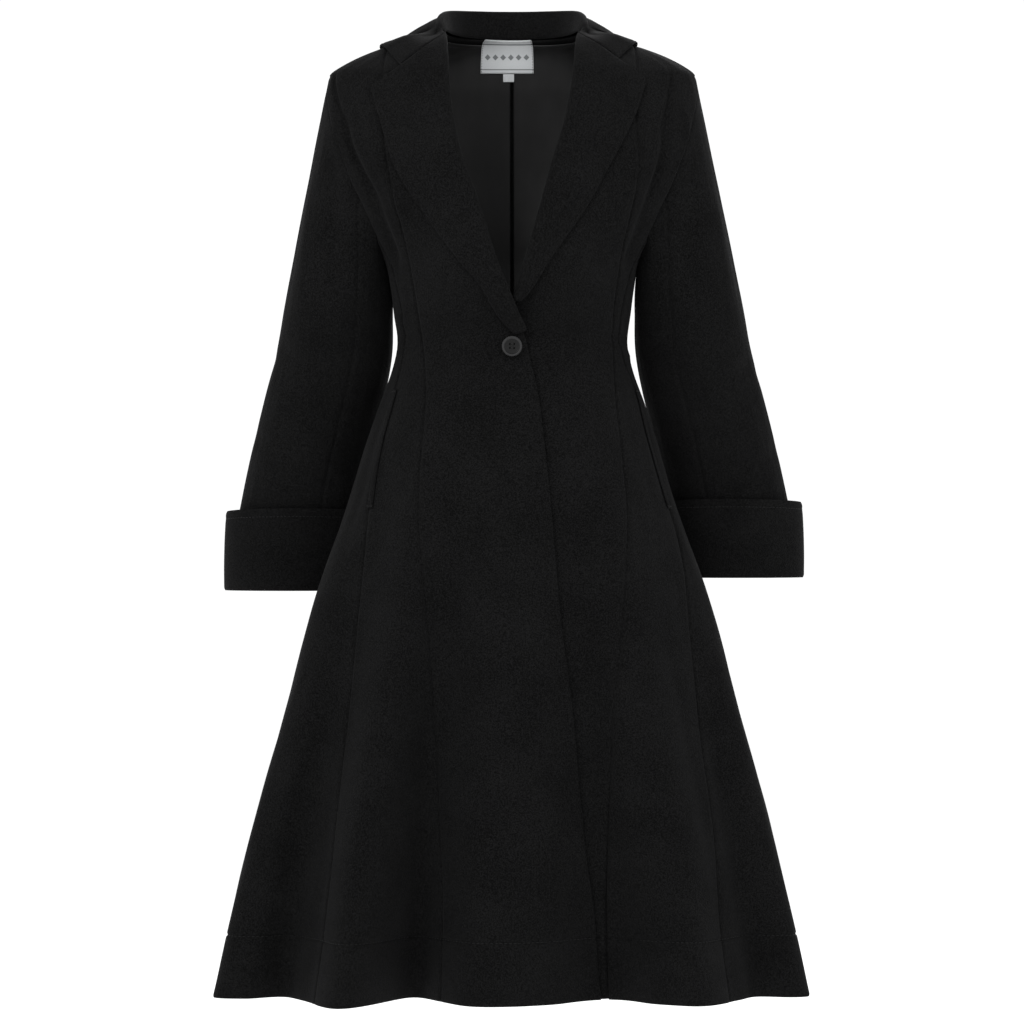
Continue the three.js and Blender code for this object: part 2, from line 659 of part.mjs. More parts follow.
function sleeveGrid(side) {
  const ring = armholeRing(side);
  const seamPoints = ring.map(({ angle, z }) => bodyPoint(angle, z));
  const count = ring.length;
  const around = (j) => (j + count) % count;
  const half = count / 2;
  const lengths = [0];
  for (let j = 1; j <= count; j++)
    lengths.push(lengths[j - 1] + seamPoints[around(j)].distanceTo(seamPoints[j - 1]));
  const turns = ring.map((_, j) =>
    j <= half ? (180 * lengths[j]) / lengths[half]
      : 180 + (180 * (lengths[j] - lengths[half])) / (lengths[count] - lengths[half]));
  const stations = SLEEVE.map((row) => ({ ...row, x: sleeveX(side, row.x), z: sleeveZ(side, row.z) }));
  const onStation = (row, turn) => new THREE.Vector3(
    side * (row.x + row.halfWidth * Math.cos(turn * RAD)),
    row.y - row.halfDepth * Math.sin(turn * RAD),
    row.z);
  const down = new THREE.Vector3(0, 0, -1);
  const first = [];
  const firstInner = [];
  const columns = ring.map((place, j) => {
    const normal = bodyNormal(place.angle, place.z);
    const run = seamPoints[around(j + 1)].clone().sub(seamPoints[around(j - 1)]).normalize();
    const away = run.cross(normal).multiplyScalar(-side).normalize();
    const start = seamPoints[j].clone().addScaledVector(away, ARMHOLE_GAP * Math.cos(place.turn * 90 * RAD))
      .addScaledVector(normal, ARMHOLE_GAP * Math.sin(place.turn * 90 * RAD));
    const inward = normal.clone().multiplyScalar(-Math.cos(place.turn * 180 * RAD))
      .addScaledVector(away, Math.sin(place.turn * 180 * RAD));
    first.push(start);
    firstInner.push(start.clone().addScaledVector(inward, WOOL));
    const end = onStation(stations[0], turns[j]);
    const next = onStation(stations[1], turns[j]);
    const leave = away.clone().multiplyScalar(CAP_PULL.out * (1 - place.turn))
      .addScaledVector(down, mix(CAP_PULL.down, CAP_PULL.floor, place.turn))
      .addScaledVector(normal, CAP_PULL.free * place.turn);
    const arrive = next.clone().sub(end).normalize().multiplyScalar(CAP_PULL.sleeve);
    const cap = Array.from({ length: CAP_STEPS - 1 }, (_, k) =>
      hermite(start, leave, end, arrive, (k + 1) / CAP_STEPS));
    return [start, ...cap, ...stations.map((row) => onStation(row, turns[j]))];
  });
  const outer = columns[0].map((_, i) => columns.map((column) => column[i]));
  const inner = outer.map((row, i) => row.map((point, j) => {
    if (i === 0) return firstInner[j];
    const round = row[around(j + 1)].clone().sub(row[around(j - 1)]);
    const along = outer[Math.min(i + 1, outer.length - 1)][j].clone().sub(outer[i - 1][j]);
    return point.clone().addScaledVector(round.cross(along).normalize(), -side * WOOL);
  }));
  return { outer, inner };
}

function hermite(p, m, q, n, t) {
  return p.clone().multiplyScalar(2 * t ** 3 - 3 * t ** 2 + 1)
    .addScaledVector(m, t ** 3 - 2 * t ** 2 + t)
    .addScaledVector(q, 3 * t ** 2 - 2 * t ** 3)
    .addScaledVector(n, t ** 3 - t ** 2);
}

function sleeveZ(side, z) {
  return side === leftSide ? SLEEVE[0].z + (z - SLEEVE[0].z) * LEFT_SLEEVE_REACH : z;
}

function sleeveX(side, x) {
  return x + (side === leftSide ? LEFT_SLEEVE_OUT : 0);
}

// The columns of a grid from one index to another, counted round the ring, with a seam gap at both.
function slice(grid, from, to) {
  return grid.map((row) => {
    const count = row.length;
    const picked = [];
    for (let j = from; j <= to; j++) picked.push(row[((j % count) + count) % count].clone());
    const last = picked.length - 1;
    const nudge = (a, b) => picked[a].lerp(picked[b], SEAM_GAP / 2 / picked[a].distanceTo(picked[b]));
    nudge(0, 1);
    nudge(last, last - 1);
    return picked;
  });
}

function ellipseRing(row, side, z, inset) {
  return Array.from({ length: CUFF_SIDES }, (_, k) => {
    const turn = (2 * Math.PI * k) / CUFF_SIDES;
    return new THREE.Vector3(
      side * (sleeveX(side, row.x) + (row.halfWidth - inset) * Math.cos(turn)),
      row.y - (row.halfDepth - inset) * Math.sin(turn),
      z + row.frontRise * Math.sin(turn));
  });
}

function cuffWall(side) {
  const grid = (inset) => CUFF.map((row) => ellipseRing(row, side, sleeveZ(side, row.z), inset));
  return wall(grid(0), grid(CUFF_WALL), true);
}

for (const side of [rightSide, leftSide]) {
  const word = side === rightSide ? "right" : "left";
  const { outer, inner } = sleeveGrid(side);
  const count = outer[0].length;
  const [frontSeam, backSeam] = [FRONT_SLEEVE_SEAM, count - FRONT_SLEEVE_SEAM];
  add(`${word}_top_sleeve`,
    wall(slice(outer, backSeam - count, frontSeam), slice(inner, backSeam - count, frontSeam)), "wool");
  add(`${word}_under_sleeve`,
    wall(slice(outer, frontSeam, backSeam), slice(inner, frontSeam, backSeam)), "wool");
  add(`${word}_cuff`, cuffWall(side), "wool");

  const sideSeam = side === rightSide ? edges.rightSideSeam : edges.leftSideSeam;
  add(`${word}_pocket_welt`, panel({
    levels: [WELT.top, ...SKIRT_LEVELS.filter((z) => z < WELT.top && z > WELT.bottom), WELT.bottom],
    from: (z) => sideSeam(z) - side * degreesFor(WELT.width, sideSeam(z), z),
    to: sideSeam,
    columns: 2,
    lift: () => WELT.air + WELT.height,
    thickness: WELT.height,
  }), "wool");
}

// The label and its size tab, on the lining at the centre back. They keep their own height: each point
// of the body moves level inwards, as far as it takes to clear the wool, the lining and the air.
function patch({ top, bottom, halfWidth, centre, wall: thickness, columns = 4 }) {
  const depth = WOOL + LINING_GAP + LINING_WALL + LABEL_AIR + NECK_LINING_GAP;
  const grid = (below) => [0, 1 / 3, 2 / 3, 1].map((t) =>
    Array.from({ length: columns + 1 }, (_, j) => {
      const z = mix(top, bottom, t);
      const angle = backAngle(centre + mix(halfWidth, -halfWidth, j / columns), z);
      const normal = bodyNormal(angle, z, 0);
      const level = new THREE.Vector3(normal.x, normal.y, 0);
      return bodyPoint(angle, z, 0).addScaledVector(level, -(depth + below) / level.lengthSq());
    }));
  return wall(grid(0), grid(thickness));
}
add("label", patch(LABEL), "label");
add("size_tab", patch(SIZE_TAB), "label");

// The button: a turned disc with a raised rim, a dished face and four holes.
const wasm = await Module();
wasm.setup();

function toManifold(geometry) {
  const merged = mergeVertices(new THREE.BufferGeometry()
    .setAttribute("position", geometry.getAttribute("position"))
    .setIndex(geometry.index), 1e-4);
  return new wasm.Manifold(new wasm.Mesh({
    numProp: 3,
    vertProperties: merged.getAttribute("position").array,
    triVerts: new Uint32Array(merged.index.array),
  }));
}

function toGeometry(solid) {
  const mesh = solid.getMesh();
  return new THREE.BufferGeometry()
    .setAttribute("position", new THREE.BufferAttribute(mesh.vertProperties, 3))
    .setIndex(new THREE.BufferAttribute(mesh.triVerts, 1));
}

function buttonGeometry() {
  const { radius, rim, thickness, dish, hole, holeAt } = BUTTON;
  const profile = [
    [0, 0], [radius - 2, 0], [radius, 1.4], [radius, thickness - 1], [radius - 0.8, thickness],
    [radius - rim, thickness - 0.3], [radius - rim - 1, thickness - dish], [0, thickness - dish],
  ].map(([r, h]) => new THREE.Vector2(r, h));
  let solid = toManifold(new THREE.LatheGeometry(profile, 32));
  for (const [x, z] of [[1, 1], [1, -1], [-1, 1], [-1, -1]]) {
    const drill = new THREE.CylinderGeometry(hole, hole, 3 * thickness, 12);
    solid = solid.subtract(toManifold(drill.translate(x * holeAt, 0, z * holeAt)));
  }
  return toGeometry(solid);
}

function placeOnFront(mesh, lift) {
  mesh.position.copy(offBody(0, BUTTON.z, lift));
  mesh.quaternion.setFromUnitVectors(new THREE.Vector3(0, 1, 0), bodyNormal(0, BUTTON.z));
}

placeOnFront(add("button", buttonGeometry(), "button"), BUTTON.standOff);
const shankLength = BUTTON.standOff - 3 * SEAM_GAP;
placeOnFront(
  add("button_shank", new THREE.CylinderGeometry(SHANK_RADIUS, SHANK_RADIUS, shankLength, 16), "wool"),
  2 * SEAM_GAP + shankLength / 2,
);

export default coat;
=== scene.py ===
"""A black wool swing coat: fine cloth, stitching and finish on the frame of its solids.

Lengths are millimetres, which metres() turns into the frame's metres. Angles are degrees round the
wearer: 0 is the centre front, 90 the wearer's left, 180 the centre back.
"""
import math

import bpy
import numpy as np
from mathutils import Matrix, Vector


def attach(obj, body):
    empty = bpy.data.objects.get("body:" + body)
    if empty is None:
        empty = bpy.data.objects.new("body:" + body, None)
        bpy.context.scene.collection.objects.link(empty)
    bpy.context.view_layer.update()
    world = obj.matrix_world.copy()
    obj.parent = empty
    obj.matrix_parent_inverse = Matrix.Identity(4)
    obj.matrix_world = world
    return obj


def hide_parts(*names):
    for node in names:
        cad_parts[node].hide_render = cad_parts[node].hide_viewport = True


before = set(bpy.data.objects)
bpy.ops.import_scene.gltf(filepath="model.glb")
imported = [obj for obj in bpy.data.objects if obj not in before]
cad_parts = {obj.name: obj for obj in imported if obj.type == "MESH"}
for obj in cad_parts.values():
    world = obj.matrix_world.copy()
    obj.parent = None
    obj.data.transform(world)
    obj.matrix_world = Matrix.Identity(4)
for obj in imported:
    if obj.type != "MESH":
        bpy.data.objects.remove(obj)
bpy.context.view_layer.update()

RIGHT, LEFT = -1, 1
WORD = {RIGHT: "right", LEFT: "left"}

# Walls of cloth
WOOL = 2.6
COLLAR_WALL = 3.4
CUFF_WALL = 3.4
STAND_WALL = 3
LINING_WALL = 1

# Heights
HEM = -1096
UNDERARM = -263
SHOULDER_TIP = -53.5
PRINCESS_TOP = -17
SIDE_SEAM_TOP = -236
FOLDS_FROM = -470
LINING_HEM = -1050
V_HEIGHT = -322
LAP_START = -343
NECK_Z = -5
HEM_STITCH = HEM + 70

# Seams and edges
SEAM_GAP = -0.24  # the cloth meets and laps a little at each seam
SEAM_DIP = {"depth": 0.95, "half": 2.6}
EDGE_ROUND = {"share": 0.34, "reach": 0.55}  # of the wall's thickness
RIM = (0.35, 0.9, 1.8, 3.2, 5.5)  # where a grid has extra lines near an edge
PRESSED = {"in": 4.2, "half": 1.1, "depth": 0.45}  # the pressed line inside a free edge
SHOULDER_ROWS = {"down_to": -66, "step": 2.6}
STITCH_DIP = 1.5
STITCH_DIP_HALF = 1.5
HEM_ROWS = (-4, -2.2, -1.1, 0, 1.1, 2.2, 4)

# The front that lies under: how far it drops below the top one and at the foot of the neckline
UNDER_DIP = {"depth": 5, "reach": 46, "within": 38, "from": -268, "over": 40}
V_DIP = {"depth": 6.5, "half": 34, "reach": 44, "within": 36}
PANEL_TOP = {"front": -3, "back": -1, "gap": 0.4}
SIDE_PANEL_LEVEL = -292  # the rows of the side panel are level from here down

# Unevenness: relief starts below the neck and is calm round the button
RELIEF = {"from": -4, "within": 40, "calm": 26}
CREASE_END = {"past": 0.18, "fade": 0.4}
LEAST_CUT = 0.01  # metres, the least that a flat cut may measure
LEAST_AREA_SHARE = 0.301


class Table:
    """Rows with named columns, read as smooth curves through one key column."""

    def __init__(self, columns, rows):
        names = columns.split()
        self.columns = {name: np.array([row[i] for row in rows], float) for i, name in enumerate(names)}
        self.rows = [dict(zip(names, row)) for row in rows]
        self.key = names[0]

    def at(self, column, value):
        """The column's value where the key column, which runs downwards, has this value."""
        keys, values = -self.columns[self.key], self.columns[column]
        return hermite_curve(keys, values, -np.asarray(value, float))

    def spread(self, column, places):
        """The column's value at a fractional row number."""
        values = self.columns[column]
        return hermite_curve(np.arange(len(values), dtype=float), values, np.asarray(places, float))


def hermite(p, m, q, n, t):
    """The curve that leaves p along m and comes to q along n."""
    return (p * (2 * t**3 - 3 * t**2 + 1) + m * (t**3 - 2 * t**2 + t)
            + q * (3 * t**2 - 2 * t**3) + n * (t**3 - t**2))


def hermite_curve(keys, values, x):
    x = np.clip(x, keys[0], keys[-1])
    slopes = np.empty_like(values)
    slopes[1:-1] = (values[2:] - values[:-2]) / (keys[2:] - keys[:-2])
    slopes[0] = (values[1] - values[0]) / (keys[1] - keys[0])
    slopes[-1] = (values[-1] - values[-2]) / (keys[-1] - keys[-2])
    i = np.clip(np.searchsorted(keys, x, side="right") - 1, 0, len(keys) - 2)
    span = keys[i + 1] - keys[i]
    return hermite(values[i], slopes[i] * span, values[i + 1], slopes[i + 1] * span, (x - keys[i]) / span)


BODY = Table("z width front back power", [
    (0, 72, 4, 85, 2.2), (-6, 102, 20, 90, 2.2), (-17, 139, 42, 95.5, 2.2),
    (-30.5, 175, 58, 99, 2.2), (-46, 203, 71, 102, 2.2), (-53.5, 209.5, 76, 103, 2.2),
    (-75, 215.5, 85, 106, 2.2),
    (-104, 222, 97, 109, 2.2), (-133, 220, 107, 111, 2.2), (-162, 208, 115, 112, 2.2),
    (-190, 192, 121, 111, 2.2), (-214, 176, 125, 109, 2.2), (-236, 161, 127, 107, 2.2),
    (-263, 145, 128, 105, 2.2), (-292, 139, 121, 100, 2.15), (-322, 135, 109, 94, 2.1),
    (-355, 131, 97, 90, 2.1), (-388, 137, 101, 98, 2.1), (-429, 152, 108, 112, 2.15),
    (-470, 166, 113, 121, 2.2), (-543, 188, 119, 133, 2.2), (-643, 223, 119, 143, 2.25),
    (-763, 255, 117, 150, 2.3), (-882, 288, 115, 156, 2.3), (-991, 313, 113, 160, 2.3),
    (-1096, 336, 112, 163, 2.3),
])
FLUTES = Table("angle out spread", [
    (-72, 16, 9), (-51, -34, 9), (-29.5, 54, 8), (-17, -64, 6.5), (-3, 24, 9), (16, -40, 9),
    (33.5, 34, 9), (57, -28, 9), (76, 9, 8), (103, -26, 9), (122, 36, 9), (140, -38, 9),
    (158, 34, 9), (176, -34, 9), (-166, 30, 8), (-149, -40, 9), (-129, 38, 9), (-108, -24, 9),
])
RIGHT_PRINCESS = Table("z x", [
    (-17, -139), (-40, -145), (-127, -144), (-190, -134), (-264, -117), (-335, -105), (-375, -99),
    (-419, -97), (-502, -102), (-560, -103), (-623, -98), (-736, -91), (-827, -88), (-973, -81),
    (-1096, -84),
])
LEFT_PRINCESS = Table("z x", [
    (-17, 139), (-40, 141), (-100, 139), (-152, 142), (-201, 136), (-264, 123), (-326, 115),
    (-375, 115), (-419, 117), (-482, 123), (-538, 128), (-607, 126), (-721, 118), (-827, 112.5),
    (-980, 109), (-1096, 112),
])
RIGHT_SIDE_SEAM = Table("z x", [
    (-236, -154), (-278, -134), (-355, -122), (-411, -133), (-467, -148), (-548, -163), (-653, -176),
    (-732, -185), (-829, -194), (-915, -200), (-991, -208), (-1096, -218),
])
LEFT_SIDE_SEAM = Table("z x", [
    (-236, 154), (-278, 134), (-355, 122), (-422, 145), (-480, 161), (-526, 174), (-584, 191),
    (-635, 199), (-751, 214), (-842, 223), (-921, 232), (-1019, 237), (-1096, 246),
])
BACK_PRINCESS = Table("z x", [
    (-17, 139), (-104, 133), (-190, 116), (-263, 97), (-355, 74), (-470, 84), (-643, 98),
    (-882, 120), (-1096, 142),
])
BACK_SIDE_SEAM = Table("z x", [
    (-236, 154), (-278, 131), (-355, 116), (-429, 138), (-543, 165), (-643, 187), (-882, 226),
    (-1096, 254),
])
ARMHOLE = Table("z x", [
    (-53.5, 208.5), (-75, 211.5), (-104, 206.5), (-133, 198), (-162, 187), (-190, 176), (-214, 164.5),
    (-236, 154),
])
TOP_FRONT_EDGE = Table("z x", [
    (-3, -77), (-68.5, -76), (-110, -70), (-152.5, -61.3), (-201, -42.3), (-263.6, -23.4),
    (-320, 0), (-348, 13), (-376, 20), (-419, 29.5), (-497, 39), (-554, 45), (-623, 51),
    (-688, 57.5), (-745, 66), (-842, 76), (-932, 85), (-992, 94), (-1068, 100), (-1096, 103),
])
UNDER_FRONT_EDGE = Table("z x", [
    (-3, 77), (-68.5, 72), (-133, 58), (-212, 35.6), (-282.5, 14), (-322, 3), (-348, -12),
    (-376, -20), (-497, -32), (-623, -38), (-842, -44), (-1096, -50),
])
TOP_LAPEL = Table("rollX rollZ edgeX edgeZ", [
    (76.8, -11, 123.5, -49.5), (76.6, -26, 151, -66), (76.2, -40, 156.5, -72), (75.5, -58, 154, -86),
    (72.5, -90, 143.7, -121), (66.5, -128, 133, -157), (57, -165, 116, -188), (45, -196, 95.7, -217.7),
    (34, -230, 77.8, -243.6), (22.5, -266, 54.5, -273.6), (12, -291, 36.7, -294),
    (-2, -325, 16.7, -328), (-12, -346, -3, -350),
])
UNDER_LAPEL = Table("rollX rollZ edgeX edgeZ", [
    (76.2, -11, 118, -41), (75.5, -26, 143, -57), (74.6, -40, 149, -64), (73, -58, 146, -78),
    (68, -90, 139, -101), (61, -122, 124, -133), (50, -158, 103, -172), (39, -198, 85.7, -204),
    (28, -237, 62, -240), (16, -276, 39, -272.5), (9, -302, 21, -303), (4.8, -314, 10.5, -315),
])
COLLAR = Table("neckX neckY neckZ foldX foldY foldZ edgeX edgeZ edgeBack drop belly settle", [
    (0, 83.6, 0.3, 0, 88, 30, 0, -43, 1, -0.3, 0.14, 1),
    (20, 81.6, 0.3, 20, 86.5, 30, 32, -43, 1, -0.3, 0.14, 1),
    (38, 74.5, 0.3, 39, 81, 30, 64, -43, 1, -0.28, 0.15, 0.9),
    (54, 58, 0.3, 57, 69, 29.5, 97, -40, 1, -0.2, 0.24, 0.5),
    (66, 34, 0.3, 70, 48, 27, 126, -34, 1, -0.04, 0.38, 0.1),
    (71, 14, 0.3, 76, 27, 22.5, 140, -29, 1, 0.04, 0.44, 0),
    (72.4, 7, 0.6, 78, 15, 18, 147, -25.5, 1, 0.05, 0.45, 0),
    (73.4, 1.5, 0.6, 79, 5, 13, 150, -21, 1, 0, 0.42, 0.2),
    (74.4, -3, -1.2, 79.4, -4, 7, 147.5, -22.5, 0, -0.14, 0.28, 0.8),
    (75.2, -5.6, -3.4, 79.2, -8.5, 2, 142, -27, 0, -0.2, 0.2, 1),
    (76.3, -8.5, -6.2, 78.4, -12.5, -3, 125.5, -45.5, 0, -0.3, 0.14, 1),
])
COLLAR_LIFT = 4
COLLAR_TOP_LIFT = 16
COLLAR_SIDE_FROM = 0.5  # nearer to the centre back than this a point has no side
LEFT_COLLAR = {"short": 0.05, "rise": 3.4, "from_row": 6}
STAND = {"gap": -0.3, "reach": 1.03, "height": 30}
ROLL_RADIUS = 3
ROLL_START = 1
ROLL_STEPS = 13
LAPEL = {"air": 1.4, "belly": 1.6, "full_width": 60, "flattens": 0.8, "follows": 0.64}
GORGE_GAP = 0.4

SLEEVE = Table("z x y halfWidth halfDepth", [
    (-318, 198.4, 20, 62.4, 58), (-365, 204, 38, 66.5, 57), (-415, 216, 60, 69, 55),
    (-480, 233, 85, 69.5, 52), (-545, 246.5, 106, 71, 50), (-592, 251.5, 122, 76, 51),
    (-640, 253.5, 136.6, 80, 51),
])
CUFF = Table("z x y halfWidth halfDepth frontRise", [
    (-548, 249, 107, 84.5, 57, 4), (-580, 251, 118, 85, 56.8, 3), (-611, 252.5, 128.2, 85, 56.4, 1),
    (-640, 253.5, 136.6, 84.4, 55.6, 0),
])
CUFF_DEPTH = 93
ARMHOLE_LAP = -1.4  # the sleeve starts a little inside the armhole's edge
ARMHOLE_SINK = -0.4
ARMHOLE_ROWS = {"dense": 14, "then": 16, "sides": 40, "floor": 41}
ARMHOLE_DIP = 0.8
UNDERARM_TURN = 0.7  # how far the sleeve has folded back where the armhole meets the side seam
TURN_FROM = {"height": -120, "within": 100}
HEAD_SPREAD = 7  # degrees
HEAD_ROUNDS = 0.12
CAP_PULL = {"out": 60, "down": 60, "floor": 45, "free": -6, "sleeve": 90}
CAP_FREE = 30  # the wall faces as the seam does until this far from it
LEFT_SLEEVE_REACH = 0.953
LEFT_SLEEVE_OUT = 4
LEFT_CREASE_SHIFT = 16
SLEEVE_MM = 1.15  # to a degree round the sleeve
SLEEVE_RELIEF = {"from": -96, "within": 60, "to": -640, "over": 40, "swell": 0.5}
FRONT_SLEEVE_SEAM = 112  # degrees round the sleeve, from the shoulder tip down the front
BACK_SLEEVE_SEAM = 248
CUFF_SEAM = {"at": 195, "mm": 1.3, "half": 2.4, "depth": 0.9}
CUFF_GROOVE = {"half": 1.3, "depth": 0.45}

LINING = {"top": -2, "gap": 1.4, "neck_gap": 2.0, "clear": 50, "inset": 3, "pleat": 1.6, "sag": 1.2}
WELT = {"top": -411, "bottom": -544, "width": 7, "height": 1.8, "air": 0.6, "bar_in": 2}
BUTTON = {"z": -364, "radius": 11.4, "rim": 2.2, "thickness": 4.6, "dish": 1.2, "hole": 1.15,
          "hole_at": 2.2, "stand_off": 3.2}
STRAND = {"radius": 0.2, "apart": 0.35, "rise": 0.35, "sink": 1.5}
BUTTONHOLE = {"from": 2.0, "reach": 14.0, "half": 1.3, "from_edge": 1.5, "proud": 0.1}
LABEL = {"top": -2, "bottom": -38.5, "half": 31.3, "centre": -5.8, "wall": 0.7}
SIZE_TAB = {"top": -39.1, "bottom": -48, "half": 6.4, "centre": -4, "wall": 0.6}
LABEL_AIR = 0.9
LABEL_RIM = (0.3, 0.9)
LABEL_SAG = 0.25
LABEL_MOTIF = {"pitch": 9, "lozenge": 3.4, "reach": 27, "rule_in": 4.5, "rule": 1.1}

# Stitches: the bar of one stitch from end to end, as shares of its length and radius
STITCH = {"length": 2.9, "pitch": 4.3, "radius": 0.34, "sides": 6, "flat": 0.8}
STITCH_BAR = ((-0.5, 0.35), (-0.3, 0.92), (0.3, 0.92), (0.5, 0.35))
CUFF_STITCH_IN = 9
HEM_STITCHES = {"pitch": 5.2, "length": 3.4}
BAR_STITCHES = {"pitch": 1.0, "length": 0.9}
HOLE_STITCHES = {"pitch": 0.75, "length": 0.55}
LABEL_STITCHES = {"pitch": 3.2, "length": 2.2}

# The studio, in metres and watts
FLOOR = -1.4
WORLD_LIGHT = 1.05
CAMERA = {"place": (0, -4.5, -0.5483), "sensor": 36, "lens": 138.8}
LIGHTS = (  # name, place, aim, size, power
    ("key", (-1.6, -2.6, 1.4), (0, 0, -0.4), 1.8, 60),
    ("fill", (2.2, -2.4, 0.6), (0, 0, -0.5), 2.2, 30),
    ("back", (0.6, 2.6, 1.6), (0, 0, -0.3), 1.8, 40),
)

# Low, slow swells that no cut cloth is without, and those of the lining
SWELLS = Table("size turns rise start", [
    (0.45, 5, 61, 0), (0.35, 11, -43, 1.3), (0.22, 23, 27, 0.4), (0.16, 41, -17, 2.1),
])
LINING_WAVES = Table("size turns rise start", [(1.1, 9, 120, 0), (0.7, 19, -70, 0), (0.5, 6, 22, 0)])

# Soft troughs and ridges: a line from one place to another, its half width and how
# far it goes in (below 0) or out. The first two are the shoulder darts and the folds they release.
CREASES = Table("angle0 z0 angle1 z1 half depth", [
    (-76, -47, -56, -110, 4, -4), (-56, -110, -53, -195, 8, -6), (-53, -190, -66, -272, 12, -6),
    (58, -52, 48, -112, 4, -4), (48, -112, 53, -195, 8, -6), (53, -190, 66, -272, 12, -6),
    (-44, -110, -43, -226, 9, 2.4), (40, -110, 43, -232, 9, 2.4),
    (-66, -100, -62, -200, 8, 2), (62, -104, 62, -200, 8, 2),
    (-9, -371, -40, -383, 6, -1.5), (-8, -357, -33, -338, 6, -1.2),
    (10, -372, 34, -392, 7, -1.5), (12, -352, 38, -344, 7, -1.2),
    (-52, -352, -84, -346, 6, -2), (-58, -338, -88, -330, 5, 1.1),
    (56, -350, 86, -358, 6, -2), (60, -366, 88, -372, 5, 1.2),
    (-30, -404, -36, -560, 14, 1.6), (30, -410, 35, -590, 15, 1.6),
    (-70, -420, -66, -600, 14, -2), (72, -430, 68, -620, 14, -2.2),
    (-44, -640, -40, -1096, 20, -3), (24, -620, 25, -1096, 18, 3.4),
    (-9, -680, -10, -1096, 16, -3.2), (5, -650, 6, -1096, 15, 2.6),
    (45, -700, 46, -1096, 18, -3.4), (-62, -720, -61, -1096, 18, 3),
    (112, -340, 146, -352, 7, -2), (118, -362, 150, -372, 6, -1.6), (-114, -346, -144, -356, 7, -2),
    (-120, -368, -152, -376, 6, -1.6), (166, -350, 178, -400, 8, -1.4), (-164, -352, -174, -408, 8, -1.5),
    (132, -640, 131, -1096, 18, -3), (168, -660, 167, -1096, 17, 3), (-139, -650, -139, -1096, 18, 3),
    (-178, -700, -177, -1096, 14, 2.2), (-96, -640, -93, -1096, 20, -3), (94, -660, 92, -1096, 20, 3),
    (-116, -120, -128, -236, 14, -3), (118, -124, 130, -240, 14, -3),
    (150, -130, 146, -230, 16, -1.6), (-152, -128, -147, -236, 16, -1.6),
])
# The same on the sleeves: places are degrees round the sleeve and heights, the same for both.
SLEEVE_CREASES = Table("angle0 z0 angle1 z1 half depth", [
    (20, -360, 84, -392, 10, -3), (34, -398, 100, -424, 10, -2.8), (60, -430, 118, -448, 9, -2.2),
    (10, -460, 80, -488, 9, -2.4), (-60, -352, 4, -378, 10, -2.6), (-90, -410, -20, -436, 10, -2.8),
    (104, -336, 150, -352, 9, -2), (214, -366, 252, -392, 9, -2), (-120, -470, -40, -492, 9, -2.2),
    (70, -130, 92, -300, 13, -3), (-70, -140, -92, -300, 13, -3), (34, -180, 46, -340, 16, 2.2),
    (-28, -200, -40, -380, 16, 2), (50, -500, 130, -520, 8, -2),
])


def clamp01(t):
    return np.clip(t, 0, 1)


def ease(t):
    t = clamp01(t)
    return t * t * (3 - 2 * t)


def mix(a, b, t):
    return a + (b - a) * t


def unit(v):
    return v / np.maximum(np.linalg.norm(v, axis=-1, keepdims=True), 1e-9)


def length(v):
    return np.linalg.norm(v, axis=-1)


def bell(x, half):
    return np.exp(-((x / half) ** 2))


def run(grid, axis=0):
    """The length along the lines of a grid, from 0 at their start."""
    steps = np.cumsum(length(np.diff(grid, axis=axis)), axis=axis)
    return np.concatenate([np.zeros_like(np.take(steps, [0], axis)), steps], axis=axis)


def points(x, y, z):
    return np.stack(np.broadcast_arrays(x, y, z), axis=-1).astype(float)


def turn_between(a, b):
    return (a - b + 180) % 360 - 180


def grown(z):
    return clamp01((FOLDS_FROM - z) / (FOLDS_FROM - HEM)) ** 1.25


def flute_out(angle, z):
    swing = sum(f["out"] * bell(turn_between(angle, f["angle"]), f["spread"]) for f in FLUTES.rows)
    return swing * grown(z)


def body_point(angle, z, fluted=1):
    """A point of the body's outer face at an angle round the wearer and a height."""
    angle, z = np.broadcast_arrays(np.asarray(angle, float), np.asarray(z, float))
    width, front, back, power = (BODY.at(c, z) for c in ("width", "front", "back", "power"))
    s, c = np.sin(np.radians(angle)), np.cos(np.radians(angle))
    depth = np.where(c > 0, front, back)
    across = np.sign(s) * np.abs(s) ** (2 / power)
    along = np.sign(c) * np.abs(c) ** (2 / power)
    facing = np.stack([across * np.abs(across) ** (power - 2) / width,
                       -along * np.abs(along) ** (power - 2) / depth], axis=-1)
    facing = unit(facing)
    out = fluted * flute_out(angle, z)
    return points(width * across + facing[..., 0] * out, -depth * along + facing[..., 1] * out, z)


def body_normal(angle, z, fluted=1, step=0.6, turn=0.4):
    round_ = body_point(angle + turn, z, fluted) - body_point(angle - turn, z, fluted)
    above, under = np.minimum(0, z + step), np.maximum(HEM, z - step)
    return unit(np.cross(round_, body_point(angle, above, fluted) - body_point(angle, under, fluted)))


def troughs(table, angle, z, scale):
    """The sum of a table's creases at places given by angle and height; scale is mm per degree."""
    total = np.zeros(np.broadcast(angle, z).shape)
    for c in table.rows:
        dx, dz = turn_between(angle, c["angle0"]) * scale, z - c["z0"]
        lx, lz = turn_between(c["angle1"], c["angle0"]) * scale, c["z1"] - c["z0"]
        long = np.maximum(np.hypot(lx, lz), 1)
        t = (dx * lx + dz * lz) / long**2
        off = (dx * lz - dz * lx) / long
        ends = ease((t + CREASE_END["past"]) / CREASE_END["fade"])
        ends = ends * ease((1 + CREASE_END["past"] - t) / CREASE_END["fade"])
        ends = np.where((c["z1"] == HEM) & (t > 0.5), 1, ends)
        total += c["depth"] * bell(off, c["half"]) * ends
    return total


